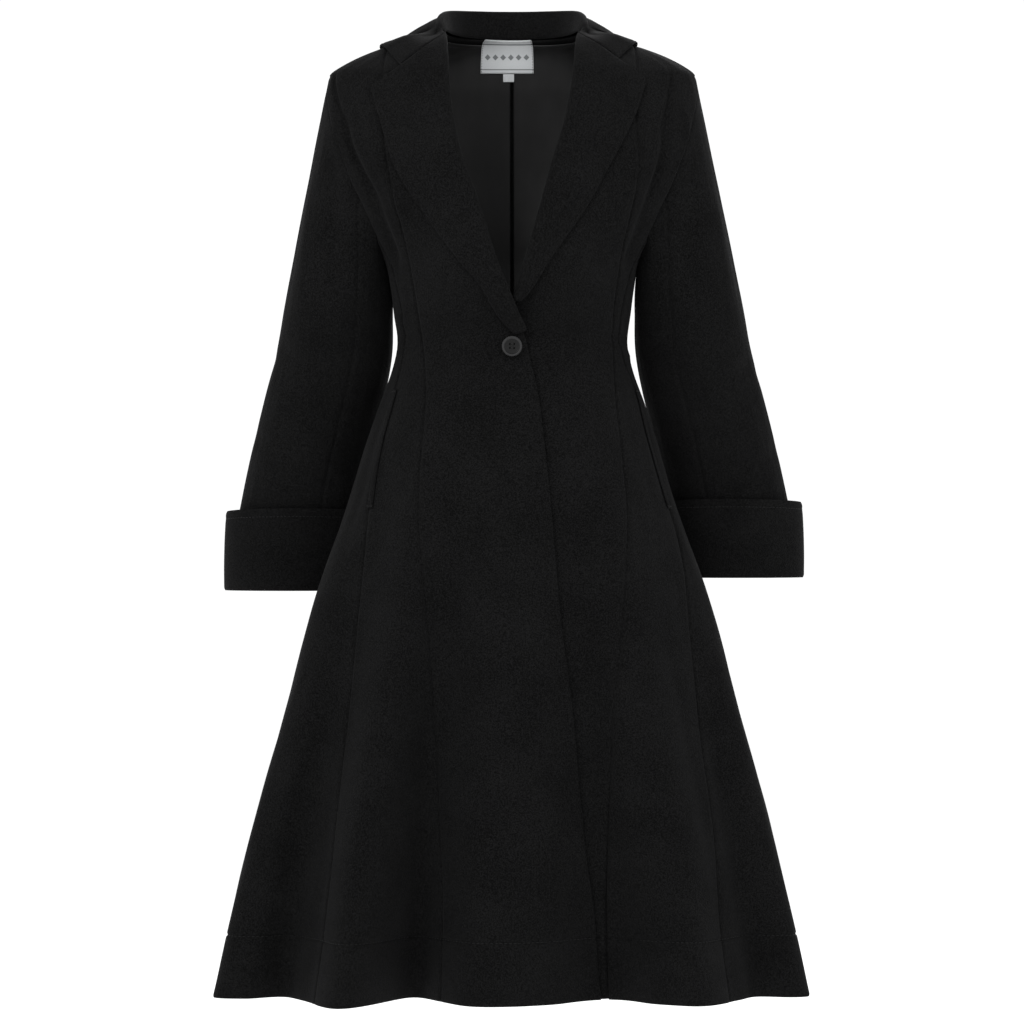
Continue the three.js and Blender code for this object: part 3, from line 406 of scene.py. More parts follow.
def waves(table, angle, z):
    a = np.radians(angle)
    return sum(w["size"] * np.sin(w["turns"] * a + z / w["rise"] + w["start"]) for w in table.rows)


def relief(angle, z):
    scale = BODY.at("width", z) * math.pi / 180
    calm = 1 - bell(np.hypot(turn_between(angle, 0) * scale, z - BUTTON["z"]), RELIEF["calm"])
    soft = (troughs(CREASES, angle, z, scale) + waves(SWELLS, angle, z)) * calm
    return (soft * ease((RELIEF["from"] - z) / RELIEF["within"])
            - STITCH_DIP * bell(z - HEM_STITCH, STITCH_DIP_HALF))


def off_body(angle, z, distance, fluted=1):
    """A point moved off the cloth's face, creases included; lining has no flutes or creases."""
    lift = distance + fluted * relief(angle, z)
    return body_point(angle, z, fluted) + body_normal(angle, z, fluted) * lift[..., None]


def front_angle(x, z):
    share = np.minimum(1, np.abs(x) / BODY.at("width", z))
    return np.degrees(np.sign(x) * np.arcsin(share ** (BODY.at("power", z) / 2)))


def back_angle(x, z):
    return np.sign(x) * (180 - np.abs(front_angle(x, z)))


def degrees_for(distance, angle, z):
    span = np.linalg.norm(body_point(angle + 0.5, z) - body_point(angle - 0.5, z), axis=-1)
    return distance / span


# Meshes


def grid_faces(rows, columns, start=0, flip=False, ring=False):
    wrap = columns if ring else columns - 1
    i, j = np.meshgrid(np.arange(rows - 1), np.arange(wrap), indexing="ij")
    k = (j + 1) % columns
    a, b = start + i * columns + j, start + i * columns + k
    c, d = start + (i + 1) * columns + k, start + (i + 1) * columns + j
    quads = np.stack([a, b, c, d], axis=-1).reshape(-1, 4)
    return quads[:, ::-1] if flip else quads


def rim_faces(rows, columns, behind, ring=False):
    """Faces that join the border of a grid to that of the grid behind it."""
    if ring:
        first = np.arange(columns)
        borders = [(first, True), ((rows - 1) * columns + first, False)]
    else:
        borders = [(np.concatenate([
            np.arange(columns),
            columns * np.arange(1, rows) + columns - 1,
            columns * (rows - 1) + np.arange(columns - 2, -1, -1),
            columns * np.arange(rows - 2, 0, -1),
        ]), True)]
    quads = []
    for ids, flip in borders:
        after = np.roll(ids, -1)
        quad = np.stack([ids, after, after + behind, ids + behind], axis=-1)
        quads.append(quad[:, ::-1] if flip else quad)
    return np.concatenate(quads)


def tube_faces(rows, columns, start=0):
    """The faces of a ring-shaped grid with both of its ends closed."""
    last = start + (rows - 1) * columns
    ends = [list(range(start, start + columns))[::-1], list(range(last, last + columns))]
    return grid_faces(rows, columns, start=start, ring=True).tolist() + ends


def metres(grid):
    return np.asarray(grid).reshape(-1, 3) / 1000


def build(name, verts, faces, material):
    mesh = bpy.data.meshes.new(name)
    mesh.from_pydata(verts.tolist(), [], [tuple(int(v) for v in f) for f in faces])
    mesh.validate()
    mesh.update()
    if signed_volume(mesh) < 0:
        mesh.flip_normals()
    mesh.polygons.foreach_set("use_smooth", [True] * len(mesh.polygons))
    obj = bpy.data.objects.new(name, mesh)
    bpy.context.scene.collection.objects.link(obj)
    mesh.materials.append(material)
    return obj


def signed_volume(mesh):
    mesh.calc_loop_triangles()
    co = np.empty(len(mesh.vertices) * 3)
    mesh.vertices.foreach_get("co", co)
    co = co.reshape(-1, 3)
    tris = np.empty(len(mesh.loop_triangles) * 3, dtype=np.int64)
    mesh.loop_triangles.foreach_get("vertices", tris)
    a, b, c = (co[tris.reshape(-1, 3)[:, k]] for k in range(3))
    return float(np.einsum("ij,ij->i", a, np.cross(b, c)).sum())


def declare(obj, node=None):
    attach(obj, "root")
    if node:
        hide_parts(node)


def sheet(node, outer, inner, material, held="hung", slot="wool", ring=False, cut=None):
    """A closed sheet between two grids; its flat cut, widest row by longest column, and its area are worked
    out but not used.
    """
    rows, columns = outer.shape[:2]
    behind = rows * columns
    faces = np.concatenate([
        grid_faces(rows, columns, ring=ring),
        grid_faces(rows, columns, start=behind, flip=True, ring=ring),
        rim_faces(rows, columns, behind, ring=ring),
    ])
    obj = build(f"{node}_cloth", np.concatenate([metres(outer), metres(inner)]), faces, material)
    declare(obj, node)
    cut = (outer if cut is None else cut) / 1000
    wide = max(run(cut, 1).max(), LEAST_CUT)
    long = max(run(cut, 0).max(), LEAST_CUT)
    across, down = np.diff(cut, axis=1)[:-1], np.diff(cut, axis=0)[:, :-1]
    area = length(np.cross(across, down)).sum()
    area = min(max(area, LEAST_AREA_SHARE * wide * long), wide * long)


def edged(count, width, rim=RIM):
    """Shares from 0 to 1 with extra ones a few millimetres from both ends."""
    near = np.array(rim) / width
    return np.unique(np.concatenate([np.linspace(0, 1, count + 1), near, 1 - near]))


def levels_between(top, bottom, step, fixed):
    """Heights for a panel's rows, closer together over the shoulders and at its lower edge."""
    dense = SHOULDER_ROWS["down_to"]
    upper = np.arange(top, max(bottom, dense), -SHOULDER_ROWS["step"])
    lower = np.arange(min(top, dense), bottom, -step)
    hem = bottom + np.array((0,) + RIM)
    inside = [z for z in fixed if bottom < z < top]
    return np.unique(np.round(np.concatenate([[top], upper, lower, hem, inside]), 3))[::-1]


def rounding(distance, wall_thickness):
    """How much of the wall's thickness is lost near an edge, on each face."""
    return EDGE_ROUND["share"] * wall_thickness * bell(distance, EDGE_ROUND["reach"] * wall_thickness)


def seam_dip(distance):
    return SEAM_DIP["depth"] * bell(distance, SEAM_DIP["half"])


def panel(node, material, start, end, top, bottom=HEM, columns=36, width=120, level_at=None, lift=None,
          thickness=WOOL, fluted=1, sewn=(True, True), fixed=(), step=7.5, slot="wool"):
    """A cloth panel between two seams, which start and end give as angles at a height."""
    z = levels_between(top, bottom, step, fixed)[:, None]
    u = edged(columns, width)[None, :]
    z = np.broadcast_to(z, (z.shape[0], u.shape[1])) if level_at is None else level_at(z, u)
    a, b = start(z), end(z)
    turn = np.sign(b - a)
    a = a + turn * degrees_for(SEAM_GAP / 2, a, z)
    b = b - turn * degrees_for(SEAM_GAP / 2, b, z)
    angle = mix(a, b, u)
    across = np.abs(b - a) / degrees_for(1.0, angle, z)
    from_seams = (u * across, (1 - u) * across)
    dip = sum(seam_dip(d) for d, is_sewn in zip(from_seams, sewn) if is_sewn) + np.zeros_like(z)
    edge = np.maximum(rounding(np.minimum(*from_seams), thickness), rounding(z - bottom, thickness))
    height = (lift(angle, z) if lift else 0) - dip
    outer = off_body(angle, z, height - edge, fluted)
    inner = off_body(angle, z, height - thickness + edge, fluted)
    sheet(node, outer, inner, material, slot=slot)


def line(table, angle_of, side=1):
    return lambda z: angle_of(side * table.at("x", z), z)


def below(top, side, seam):
    """Above its top a seam that starts on the shoulder gives way to the shoulder line."""
    return lambda z: np.where(z > top, side * 90.0, seam(z))


def armhole_angle(side, angle_of):
    return below(SHOULDER_TIP, side, line(ARMHOLE, angle_of, side))


def outer_edge(side, angle_of, side_seam):
    armhole = armhole_angle(side, angle_of)
    return lambda z: np.where(z >= SIDE_SEAM_TOP, armhole(z), side_seam(z))


def under_dip(angle, z):
    """How far the left front lies behind its place, where the right one covers it."""
    x = body_point(angle, z)[..., 0]
    covered = ease((TOP_FRONT_EDGE.at("x", z) + UNDER_DIP["reach"] - x) / UNDER_DIP["within"])
    low = ease((UNDER_DIP["from"] - z) / UNDER_DIP["over"])
    at_v = bell(z - V_HEIGHT, V_DIP["half"]) * ease((V_DIP["reach"] - x) / V_DIP["within"])
    return -(UNDER_DIP["depth"] * covered * low + V_DIP["depth"] * at_v)


def no_dip(angle, z):
    return np.zeros(np.broadcast(angle, z).shape)


PRINCESS = {
    RIGHT: below(PRINCESS_TOP, RIGHT, line(RIGHT_PRINCESS, front_angle)),
    LEFT: below(PRINCESS_TOP, LEFT, line(LEFT_PRINCESS, front_angle)),
}
SIDE_SEAM = {RIGHT: line(RIGHT_SIDE_SEAM, front_angle), LEFT: line(LEFT_SIDE_SEAM, front_angle)}
FALL = edged(30, 60)[1:]


def armhole_floor(u):
    return mix(UNDERARM, SIDE_SEAM_TOP, (2 * u - 1) ** 2)


def side_panel_level(z, u):
    """Rows of the side panel: bent under the armhole, level further down."""
    bent = clamp01((z - SIDE_PANEL_LEVEL) / (SIDE_SEAM_TOP - SIDE_PANEL_LEVEL))
    return z + (armhole_floor(u) - SIDE_SEAM_TOP) * bent


# Folded layers: lapels and collar


def rolled_row(start, along, over, fall_points, fall_facing):
    """One row of a layer that starts at an edge, rolls over and lies back on the coat."""
    turn = np.linspace(0, math.pi, ROLL_STEPS)[:, None]
    spoke = -over * np.cos(turn) + along * np.sin(turn)
    middle = np.concatenate([start + (over + spoke) * ROLL_RADIUS, fall_points])
    facing = np.concatenate([spoke, fall_facing])
    half = np.concatenate([mix(WOOL, COLLAR_WALL, turn / math.pi) / 2,
                           np.full((len(fall_points), 1), COLLAR_WALL / 2)])
    return middle, facing, half


def rolled_sheet(node, material, rows):
    """Joins rows into one closed sheet whose free edges are rounded and slightly pressed."""
    middle, facing, half = (np.stack(part) for part in zip(*rows))
    facing = unit(facing)
    across, down = run(middle, 1), run(middle, 0)
    from_edge = across[:, -1:] - across
    free = np.minimum(from_edge, np.minimum(down, down[-1:] - down))
    thin = rounding(free, COLLAR_WALL)[..., None]
    ridge = PRESSED["depth"] * bell(from_edge - PRESSED["in"], PRESSED["half"])[..., None]
    outer, inner = middle + facing * (half - thin - ridge), middle - facing * (half - thin)
    sheet(node, outer, inner, material, held="folded")


def lapel_row(side, row, dip):
    u = np.concatenate([[0.0, 0.1], FALL])
    z = mix(row["rollZ"], row["edgeZ"], u)
    angle = front_angle(side * mix(row["rollX"], row["edgeX"], u), z)
    facing = body_normal(angle, z)
    dipped = LAPEL["follows"] * dip(angle, z)
    root = off_body(angle, z, -WOOL / 2 + dipped)
    along = root[0] - root[1]
    along = unit(along - facing[0] * along.dot(facing[0]))
    width = math.hypot(row["edgeX"] - row["rollX"], row["edgeZ"] - row["rollZ"])
    rolled, flat = 2 * ROLL_RADIUS - WOOL / 2, COLLAR_WALL / 2 + LAPEL["air"]
    belly = LAPEL["belly"] * np.sin(np.pi * u) ** 2 * min(1.0, width / LAPEL["full_width"])
    fall = off_body(angle, z, mix(rolled, flat, u ** LAPEL["flattens"]) + belly + dipped)
    return rolled_row(root[0] + along * ROLL_START, along, facing[0], fall[2:], facing[2:])


def spread_rows(table, count=96, ends=5, near=0.12):
    """Rows between a table's own rows, closer together at its two ends."""
    last = len(table.rows) - 1
    extra = np.linspace(0, near, ends)
    places = np.unique(np.concatenate([np.linspace(0, last, count), extra, last - extra, [1, 2]]))
    return [{n: float(table.spread(n, place)) for n in table.columns} for place in places]


LAPELS = {RIGHT: (TOP_LAPEL, no_dip), LEFT: (UNDER_LAPEL, under_dip)}


def make_lapels(cloth):
    for side, (table, dip) in LAPELS.items():
        rolled_sheet(f"{WORD[side]}_lapel", cloth, [lapel_row(side, row, dip) for row in spread_rows(table)])


def collar_frames(side, count=64, step=0.02):
    """The stand from the centre back to the gorge: place, row, neck, fold, and the ways up and out."""
    last = len(COLLAR.rows) - 2
    frames = []
    for place in np.linspace(0, last, count):
        row, after = ({n: float(COLLAR.spread(n, p)) for n in COLLAR.columns}
                      for p in (place, min(place + step, last + 1)))
        neck, fold, next_fold = (np.array([side * r[f"{part}X"], r[f"{part}Y"], r[f"{part}Z"]])
                                 for r, part in ((row, "neck"), (row, "fold"), (after, "fold")))
        up = unit(fold - neck)
        frames.append((place, row, neck, fold, up, unit(np.cross(up, next_fold - fold) * side)))
    return frames


def collar_row(side, place, row, fold, up, out):
    """One row of the collar: from the stand it rolls over and falls to its edge on the coat."""
    short = float(ease(place / LEFT_COLLAR["from_row"])) if side == LEFT else 0.0
    edge_x = side * row["edgeX"] * (1 - LEFT_COLLAR["short"] * short)
    edge_z = row["edgeZ"] + LEFT_COLLAR["rise"] * short
    width = float(BODY.at("width", edge_z))
    angle = neck_angle = side * 180.0
    if row["edgeX"] > COLLAR_SIDE_FROM:
        angle_at = back_angle if row["edgeBack"] > 0.5 else front_angle
        angle = float(angle_at(np.clip(edge_x, -width, width), edge_z))
        neck_angle = float((back_angle if row["neckY"] > 0 else front_angle)(side * row["neckX"], NECK_Z))
    u = FALL
    start = fold + out * STAND_WALL / 2 + up * STAND["gap"]
    rolled = start + out * 2 * ROLL_RADIUS
    edge = off_body(angle, edge_z, np.array(COLLAR_LIFT))
    reach = length(rolled - edge)
    control = rolled + up * row["drop"] * reach + out * row["belly"] * reach
    on_coat = off_body(mix(neck_angle, angle, u), mix(NECK_Z, edge_z, u),
                       mix(COLLAR_TOP_LIFT, COLLAR_LIFT, u))
    v = u[:, None]
    bezier = rolled * (1 - v) ** 2 + control * 2 * v * (1 - v) + edge * v**2
    fall = mix(bezier, on_coat, row["settle"] * ease(1.5 * v))
    return rolled_row(start, up, out, fall, unit(mix(out, body_normal(angle, edge_z), v)))


def make_collar(cloth):
    frames = {side: collar_frames(side) for side in (RIGHT, LEFT)}
    falls = {}
    for side, (table, dip) in LAPELS.items():
        rows = [collar_row(side, p, row, fold, up, out) for p, row, _, fold, up, out in frames[side]]
        gorge = dict(table.rows[0])
        for name, way in (("rollX", -1), ("rollZ", 1), ("edgeX", 1), ("edgeZ", 1)):
            gorge[name] += way * GORGE_GAP
        falls[side] = rows + blend_rows(rows[-1], lapel_row(side, gorge, dip), 10)
    rolled_sheet("collar", cloth, falls[RIGHT][::-1] + falls[LEFT][1:])

    t = edged(14, STAND["height"])[None, :, None] * STAND["reach"]
    joined = frames[RIGHT][::-1] + frames[LEFT][1:]
    neck, fold, out = (np.stack([f[k] for f in joined])[:, None, :] for k in (2, 3, 5))
    face = mix(neck, fold, t)
    edge = rounding(t * STAND["height"], STAND_WALL)
    sheet("collar_stand", face + out * (STAND_WALL - edge), face + out * edge, cloth, cut=face)


def blend_rows(a, b, count):
    """Rows that pass from one to the other, the first left out."""
    steps = np.linspace(0, 1, count + 1)[1:]
    return [tuple(mix(x, y, t) for x, y in zip(a, b)) for t in steps]


# Sleeves and cuffs


def armhole_ring(side):
    """Angle, height and turn of the armhole seam, by degrees round the sleeve."""
    front, back = armhole_angle(side, front_angle), armhole_angle(side, back_angle)
    dense = ARMHOLE_ROWS["dense"]
    z = np.concatenate([
        np.linspace(SHOULDER_TIP - 0.01, SHOULDER_TIP - dense, dense),
        np.linspace(SHOULDER_TIP - ARMHOLE_ROWS["then"], SIDE_SEAM_TOP, ARMHOLE_ROWS["sides"]),
    ])
    u = np.linspace(0, 1, ARMHOLE_ROWS["floor"])[1:-1]
    floor_z = armhole_floor(u)
    first, last = SIDE_SEAM[side](floor_z), line(BACK_SIDE_SEAM, back_angle, side)(floor_z)
    early = UNDERARM_TURN * ease((TURN_FROM["height"] - z) / TURN_FROM["within"])
    angle = np.concatenate([front(z), mix(first, last, u), back(z)[::-1], [side * 90.0]])
    height = np.concatenate([z, floor_z, z[::-1], [SHOULDER_TIP]])
    turn = np.concatenate([early, mix(UNDERARM_TURN, 1, 1 - np.abs(2 * u - 1)), early[::-1], [0]])
    angle[0] = side * 90.0
    along = run(body_point(angle, height))
    half = len(z) + len(u) // 2
    degrees = np.where(np.arange(len(along)) <= half, 180 * along / along[half],
                       180 + 180 * (along - along[half]) / (along[-1] - along[half]))
    return lambda phi: tuple(np.interp(np.mod(phi, 360), degrees, v) for v in (angle, height, turn))


def sleeve_z(side, z):
    top = SLEEVE.rows[0]["z"]
    return top + (z - top) * LEFT_SLEEVE_REACH if side == LEFT else z


def sleeve_x(side, x):
    return x + (LEFT_SLEEVE_OUT if side == LEFT else 0)


def sleeve_ring(side, place, phi):
    x, y, z, wide, deep = (SLEEVE.spread(n, place) for n in ("x", "y", "z", "halfWidth", "halfDepth"))
    c, s = np.cos(np.radians(phi)), np.sin(np.radians(phi))
    return points(side * (sleeve_x(side, x) + wide * c), y - deep * s, sleeve_z(side, z) + 0 * c)


def armhole_frame(side, ring, phi):
    """The armhole seam at phi: its place, the body's normal and the way the sleeve leaves it."""
    seat = lambda f: off_body(*ring(f)[:2], ARMHOLE_SINK)
    normal = body_normal(*ring(phi)[:2])
    return seat(phi), normal, unit(np.cross(unit(seat(phi + 1.5) - seat(phi - 1.5)), normal) * -side)


def sleeve_lines(side, phi):
    """The sleeve's lines down from the armhole, the way its wall faces there and how far it has turned."""
    ring = armhole_ring(side)
    turn = ring(phi)[2][:, None]
    start, normal, away = armhole_frame(side, ring, phi)
    quarter, half_turn = np.radians(90 * turn), np.radians(180 * turn)
    start = start + (away * np.cos(quarter) + normal * np.sin(quarter)) * ARMHOLE_LAP
    inward = -normal * np.cos(half_turn) + away * np.sin(half_turn)
    # below the seam the sleeve head is round, without the corners of the seam at the shoulder tip
    shares = [(HEAD_SPREAD * k, math.exp(-k * k / 2)) for k in np.arange(-2, 2.1, 0.5)]
    near = [[share * v for v in armhole_frame(side, ring, phi + turned)] for turned, share in shares]
    round_start, normal, away = (sum(v) / sum(share for _, share in shares) for v in zip(*near))
    normal, away = unit(normal), unit(away)
    down = np.array([0, 0, -1.0])
    end, after = sleeve_ring(side, 0.0, phi), sleeve_ring(side, 1.0, phi)
    leave = (away * CAP_PULL["out"] * (1 - turn) + down * mix(CAP_PULL["down"], CAP_PULL["floor"], turn)
             + normal * CAP_PULL["free"] * turn)
    arrive = unit(after - end) * CAP_PULL["sleeve"]
    rounder = (round_start - start) * (1 - turn)
    cap = np.concatenate([[0, 0.006, 0.014, 0.026], np.linspace(0.04, 1, 46)[:-1]])
    lines = [hermite(start + rounder * ease(t / HEAD_ROUNDS), leave, end, arrive, t) for t in cap]
    lines += [sleeve_ring(side, place, phi) for place in np.linspace(0, len(SLEEVE.rows) - 1, 84)]
    return np.stack(lines), inward, turn.T


def sleeve_piece(side, phi):
    """The outer and inner grids of one piece of a sleeve, rows running down from the armhole."""
    outer, inward, turn = sleeve_lines(side, phi)
    round_, along = np.gradient(outer, axis=1), np.gradient(outer, axis=0)
    out = unit(np.cross(round_, along) * side)
    height = outer[..., 2] + (LEFT_CREASE_SHIFT if side == LEFT else 0)
    fade = (ease((SLEEVE_RELIEF["from"] - height) / SLEEVE_RELIEF["within"])
            * ease((height - SLEEVE_RELIEF["to"]) / SLEEVE_RELIEF["over"]))
    swell = (troughs(SLEEVE_CREASES, phi[None, :], height, SLEEVE_MM) * fade
             + SLEEVE_RELIEF["swell"] * waves(SWELLS, phi[None, :], height))
    across = (phi - phi[0])[None, :] * SLEEVE_MM + SEAM_GAP / 2 / SLEEVE_MM
    down = run(outer)
    swell = (swell * ease(down / CAP_FREE) - seam_dip(np.minimum(across, across[:, -1:] - across))
             - ARMHOLE_DIP * bell(down, SEAM_DIP["half"]) * (1 - turn))
    outer = outer + out * swell[..., None]
    at_seam = clamp01(1 - down / CAP_FREE)[..., None]
    return outer, outer + unit(mix(-out, np.broadcast_to(inward, out.shape), at_seam)) * WOOL


def make_sleeves(cloth):
    pieces = (("top_sleeve", BACK_SLEEVE_SEAM - 360, FRONT_SLEEVE_SEAM),
              ("under_sleeve", FRONT_SLEEVE_SEAM, BACK_SLEEVE_SEAM))
    gap = SEAM_GAP / 2 / SLEEVE_MM
    for side in (RIGHT, LEFT):
        for name, first, last in pieces:
            shares = edged(int((last - first) / 2), (last - first) * SLEEVE_MM)
            sheet(f"{WORD[side]}_{name}", *sleeve_piece(side, mix(first + gap, last - gap, shares)), cloth)


def cuff_ring(side, share, inset, turn):
    """A line round the cuff, a share of the way down, with a little unevenness."""
    place = share * (len(CUFF.rows) - 1)
    names = ("x", "y", "z", "halfWidth", "halfDepth", "frontRise")
    x, y, z, wide, deep, rise = (CUFF.spread(name, place) for name in names)
    wave = 0.7 * np.sin(2 * turn + 0.6) + 0.5 * np.sin(3 * turn + side)
    return points(side * (sleeve_x(side, x) + (wide - inset + wave) * np.cos(turn)),
                  y - (deep - inset + wave) * np.sin(turn), sleeve_z(side, z) + rise * np.sin(turn))


def make_cuffs(cloth, thread):
    turn = np.linspace(0, 2 * math.pi, 145)[:-1]
    share = edged(22, CUFF_DEPTH)
    thin = rounding(np.minimum(share, 1 - share) * CUFF_DEPTH, CUFF_WALL)
    groove = CUFF_GROOVE["depth"] * bell(share * CUFF_DEPTH - CUFF_STITCH_IN, CUFF_GROOVE["half"])
    from_seam = turn_between(np.degrees(turn), CUFF_SEAM["at"]) * CUFF_SEAM["mm"]
    seam = CUFF_SEAM["depth"] * bell(from_seam, CUFF_SEAM["half"])
    for side in (RIGHT, LEFT):
        node = f"{WORD[side]}_cuff"
        outer = np.stack([cuff_ring(side, s, t + g + seam, turn) for s, t, g in zip(share, thin, groove)])
        inner = np.stack([cuff_ring(side, s, CUFF_WALL - t, turn) for s, t in zip(share, thin)])
        sheet(node, outer, inner, cloth, held="folded", ring=True,
              cut=np.concatenate([outer, outer[:, :1]], axis=1))
        path = cuff_ring(side, CUFF_STITCH_IN / CUFF_DEPTH, 0.25, np.append(turn, turn[0]))
        facing = unit((path - path.mean(axis=0)) * [1, 1, 0])
        stitch_line(f"{node}_stitches", path, facing, thread)


def stitch_line(name, path, facing, material, pitch=STITCH["pitch"], length=STITCH["length"]):
    """A row of single stitches, each a small rounded bar half sunk in the cloth."""
    along_path = run(path)
    at = np.arange(pitch / 2, along_path[-1], pitch)
    read = lambda where, values: np.stack([np.interp(where, along_path, v) for v in values.T], axis=-1)
    along = unit(read(at + 0.5, path) - read(at - 0.5, path))
    up = read(at, facing)
    up = unit(up - along * np.sum(up * along, axis=-1, keepdims=True))
    sides = STITCH["sides"]
    turn = np.radians(np.arange(sides) * 360 / sides)[None, :, None]
    centre, along, up, across = (v[:, None] for v in (read(at, path), along, up, np.cross(along, up)))
    spoke = (up * np.cos(turn) * STITCH["flat"] + across * np.sin(turn)) * STITCH["radius"]
    bars = np.stack([centre + along * length * place + spoke * size for place, size in STITCH_BAR], axis=1)
    each = len(STITCH_BAR) * sides
    faces = [f for n in range(len(at)) for f in tube_faces(len(STITCH_BAR), sides, n * each)]
    declare(build(name, metres(bars), faces, material))


# Panels of the body


def body_panels(cloth, satin):
    fixed = (SHOULDER_TIP, SIDE_SEAM_TOP, UNDERARM, V_HEIGHT, LAP_START, BUTTON["z"])
    fixed += tuple(HEM_STITCH + step for step in HEM_ROWS)
    fronts = (("right_front", TOP_FRONT_EDGE, RIGHT, None), ("left_front", UNDER_FRONT_EDGE, LEFT, under_dip))
    for node, edge, side, lift in fronts:
        panel(node, cloth, line(edge, front_angle), PRINCESS[side], PANEL_TOP["front"], columns=54, width=140,
              sewn=(False, True), fixed=fixed, lift=lift)
    top = PRINCESS_TOP - PANEL_TOP["gap"]
    for side in (RIGHT, LEFT):
        word = WORD[side]
        back_seam = line(BACK_SIDE_SEAM, back_angle, side)
        back_princess = below(PRINCESS_TOP, side, line(BACK_PRINCESS, back_angle, side))
        front_end = below(SHOULDER_TIP, side, outer_edge(side, front_angle, SIDE_SEAM[side]))
        back_end = below(SHOULDER_TIP, side, outer_edge(side, back_angle, back_seam))
        panel(f"{word}_side_front", cloth, PRINCESS[side], front_end, top, columns=34, width=70, fixed=fixed)
        panel(f"{word}_side_panel", cloth, SIDE_SEAM[side], back_seam, SIDE_SEAM_TOP, columns=48, width=110,
              fixed=fixed, level_at=side_panel_level)
        panel(f"{word}_side_back", cloth, back_end, back_princess, top, columns=36, width=70, fixed=fixed)
        panel(f"{word}_back", cloth, back_princess, lambda z, s=side: s * 180.0 + 0 * z, PANEL_TOP["back"],
              columns=40, width=110, fixed=fixed)
        back_lining(side, satin)


def lining_depth(z):
    return WOOL + LINING["gap"] + LINING["clear"] * grown(z) + LINING["neck_gap"] * ease((z + 85) / 40)


def lining_lift(angle, z):
    """The lining's depth with slow folds of the satin, deeper where it hangs free of the shoulders."""
    free = ease((-90 - z) / 120)
    return free * waves(LINING_WAVES, angle, z) - LINING["sag"] * free - lining_depth(z)


def back_lining(side, satin):
    armhole = armhole_angle(side, back_angle)
    outer_end = lambda z: armhole(np.maximum(z, SIDE_SEAM_TOP)) + side * LINING["inset"]
    pleat = lambda z: side * (180 - degrees_for(LINING["pleat"], 179, z))
    panel(f"{WORD[side]}_back_lining", satin, outer_end, pleat, LINING["top"], bottom=LINING_HEM, columns=40,
          lift=lining_lift, thickness=LINING_WALL, fluted=0, sewn=(False, False), slot="lining")


def welts(cloth, thread):
    proud = WELT["air"] + WELT["height"]
    for side, seam in SIDE_SEAM.items():
        node = f"{WORD[side]}_pocket_welt"
        start = lambda z, s=side, f=seam: f(z) - s * degrees_for(WELT["width"], f(z), z)
        panel(node, cloth, start, seam, WELT["top"], bottom=WELT["bottom"], columns=8, width=WELT["width"],
              step=3, lift=lambda angle, z: proud + 0 * z, thickness=WELT["height"], sewn=(False, False))
        for word, z in (("top", WELT["top"] - WELT["bar_in"]), ("bottom", WELT["bottom"] + WELT["bar_in"])):
            z = np.array(float(z))
            angle = mix(float(start(z)), float(seam(z)), np.linspace(-0.1, 1.1, 12))
            stitch_line(f"{node}_bar_{word}", off_body(angle, z, proud + 0.15), body_normal(angle, z), thread,
                        **BAR_STITCHES)


def patch(spec):
    """Ribbon on the lining: each point of the body moves level inwards, clear of the lining."""
    depth = WOOL + LINING["gap"] + LINING_WALL + LABEL_AIR + LINING["neck_gap"]
    z = np.linspace(spec["top"], spec["bottom"], 24)[:, None]
    u = edged(60, 2 * spec["half"], rim=LABEL_RIM)[None, :]
    z = np.broadcast_to(z, (len(z), u.shape[1]))
    angle = back_angle(spec["centre"] + mix(spec["half"], -spec["half"], u), z)
    level = body_normal(angle, z, 0) * [1, 1, 0]
    inward = -level / np.sum(level**2, axis=-1, keepdims=True)
    sag = (LABEL_SAG * np.sin(7 * u + z / 9))[..., None]
    outer = body_point(angle, z, 0) + inward * (depth - sag)
    return outer, outer + inward * spec["wall"]


def neck_labels(ribbon, thread):
    for node, spec in (("label", LABEL), ("size_tab", SIZE_TAB)):
        outer, inner = patch(spec)
        sheet(node, outer, inner, ribbon, held="stretched", slot="label")
        if node == "label":
            for column, word in ((3, "left"), (-4, "right")):
                facing = unit(inner[:, column] - outer[:, column])
                stitch_line(f"label_stitches_{word}", inner[:, column] + 0.05 * facing, facing, thread,
                            **LABEL_STITCHES)


# Button, buttonhole and topstitching


def lathe(name, profile, segments, material):
    """A turned disc about +Z of the button's own frame, from radius and height pairs."""
    turn = np.arange(segments) * 2 * math.pi / segments
    radius, height = (np.array(v, float)[:, None] for v in zip(*profile))
    grid = points(radius * np.cos(turn), radius * np.sin(turn), height)
    return build(name, metres(grid), tube_faces(len(profile), segments), material)


def stand_on_front(obj, lift):
    """Moves a mesh from the button's own frame to the front, lift above the body."""
    angle, z = np.array(0.0), np.array(float(BUTTON["z"]))
    up = Vector(body_normal(angle, z))
    across = Vector((1, 0, 0))
    across = (across - up * across.dot(up)).normalized()
    place = Vector(body_point(angle, z) / 1000) + up * lift / 1000
    turned = Matrix((across, up.cross(across), up)).transposed().to_4x4()
    obj.data.transform(Matrix.Translation(place) @ turned)


def drilled(disc):
    """Cuts the four holes."""
    for x in (-1, 1):
        for y in (-1, 1):
            bpy.ops.mesh.primitive_cylinder_add(vertices=24, radius=BUTTON["hole"] / 1000, depth=0.02)
            drill = bpy.context.object
            drill.location = (x * BUTTON["hole_at"] / 1000, y * BUTTON["hole_at"] / 1000, 0)
            cut = disc.modifiers.new("hole", "BOOLEAN")
            cut.object, cut.operation, cut.solver = drill, "DIFFERENCE", "EXACT"
            bpy.context.view_layer.objects.active = disc
            bpy.context.view_layer.update()
            bpy.ops.object.modifier_apply(modifier=cut.name)
            bpy.data.objects.remove(drill, do_unlink=True)


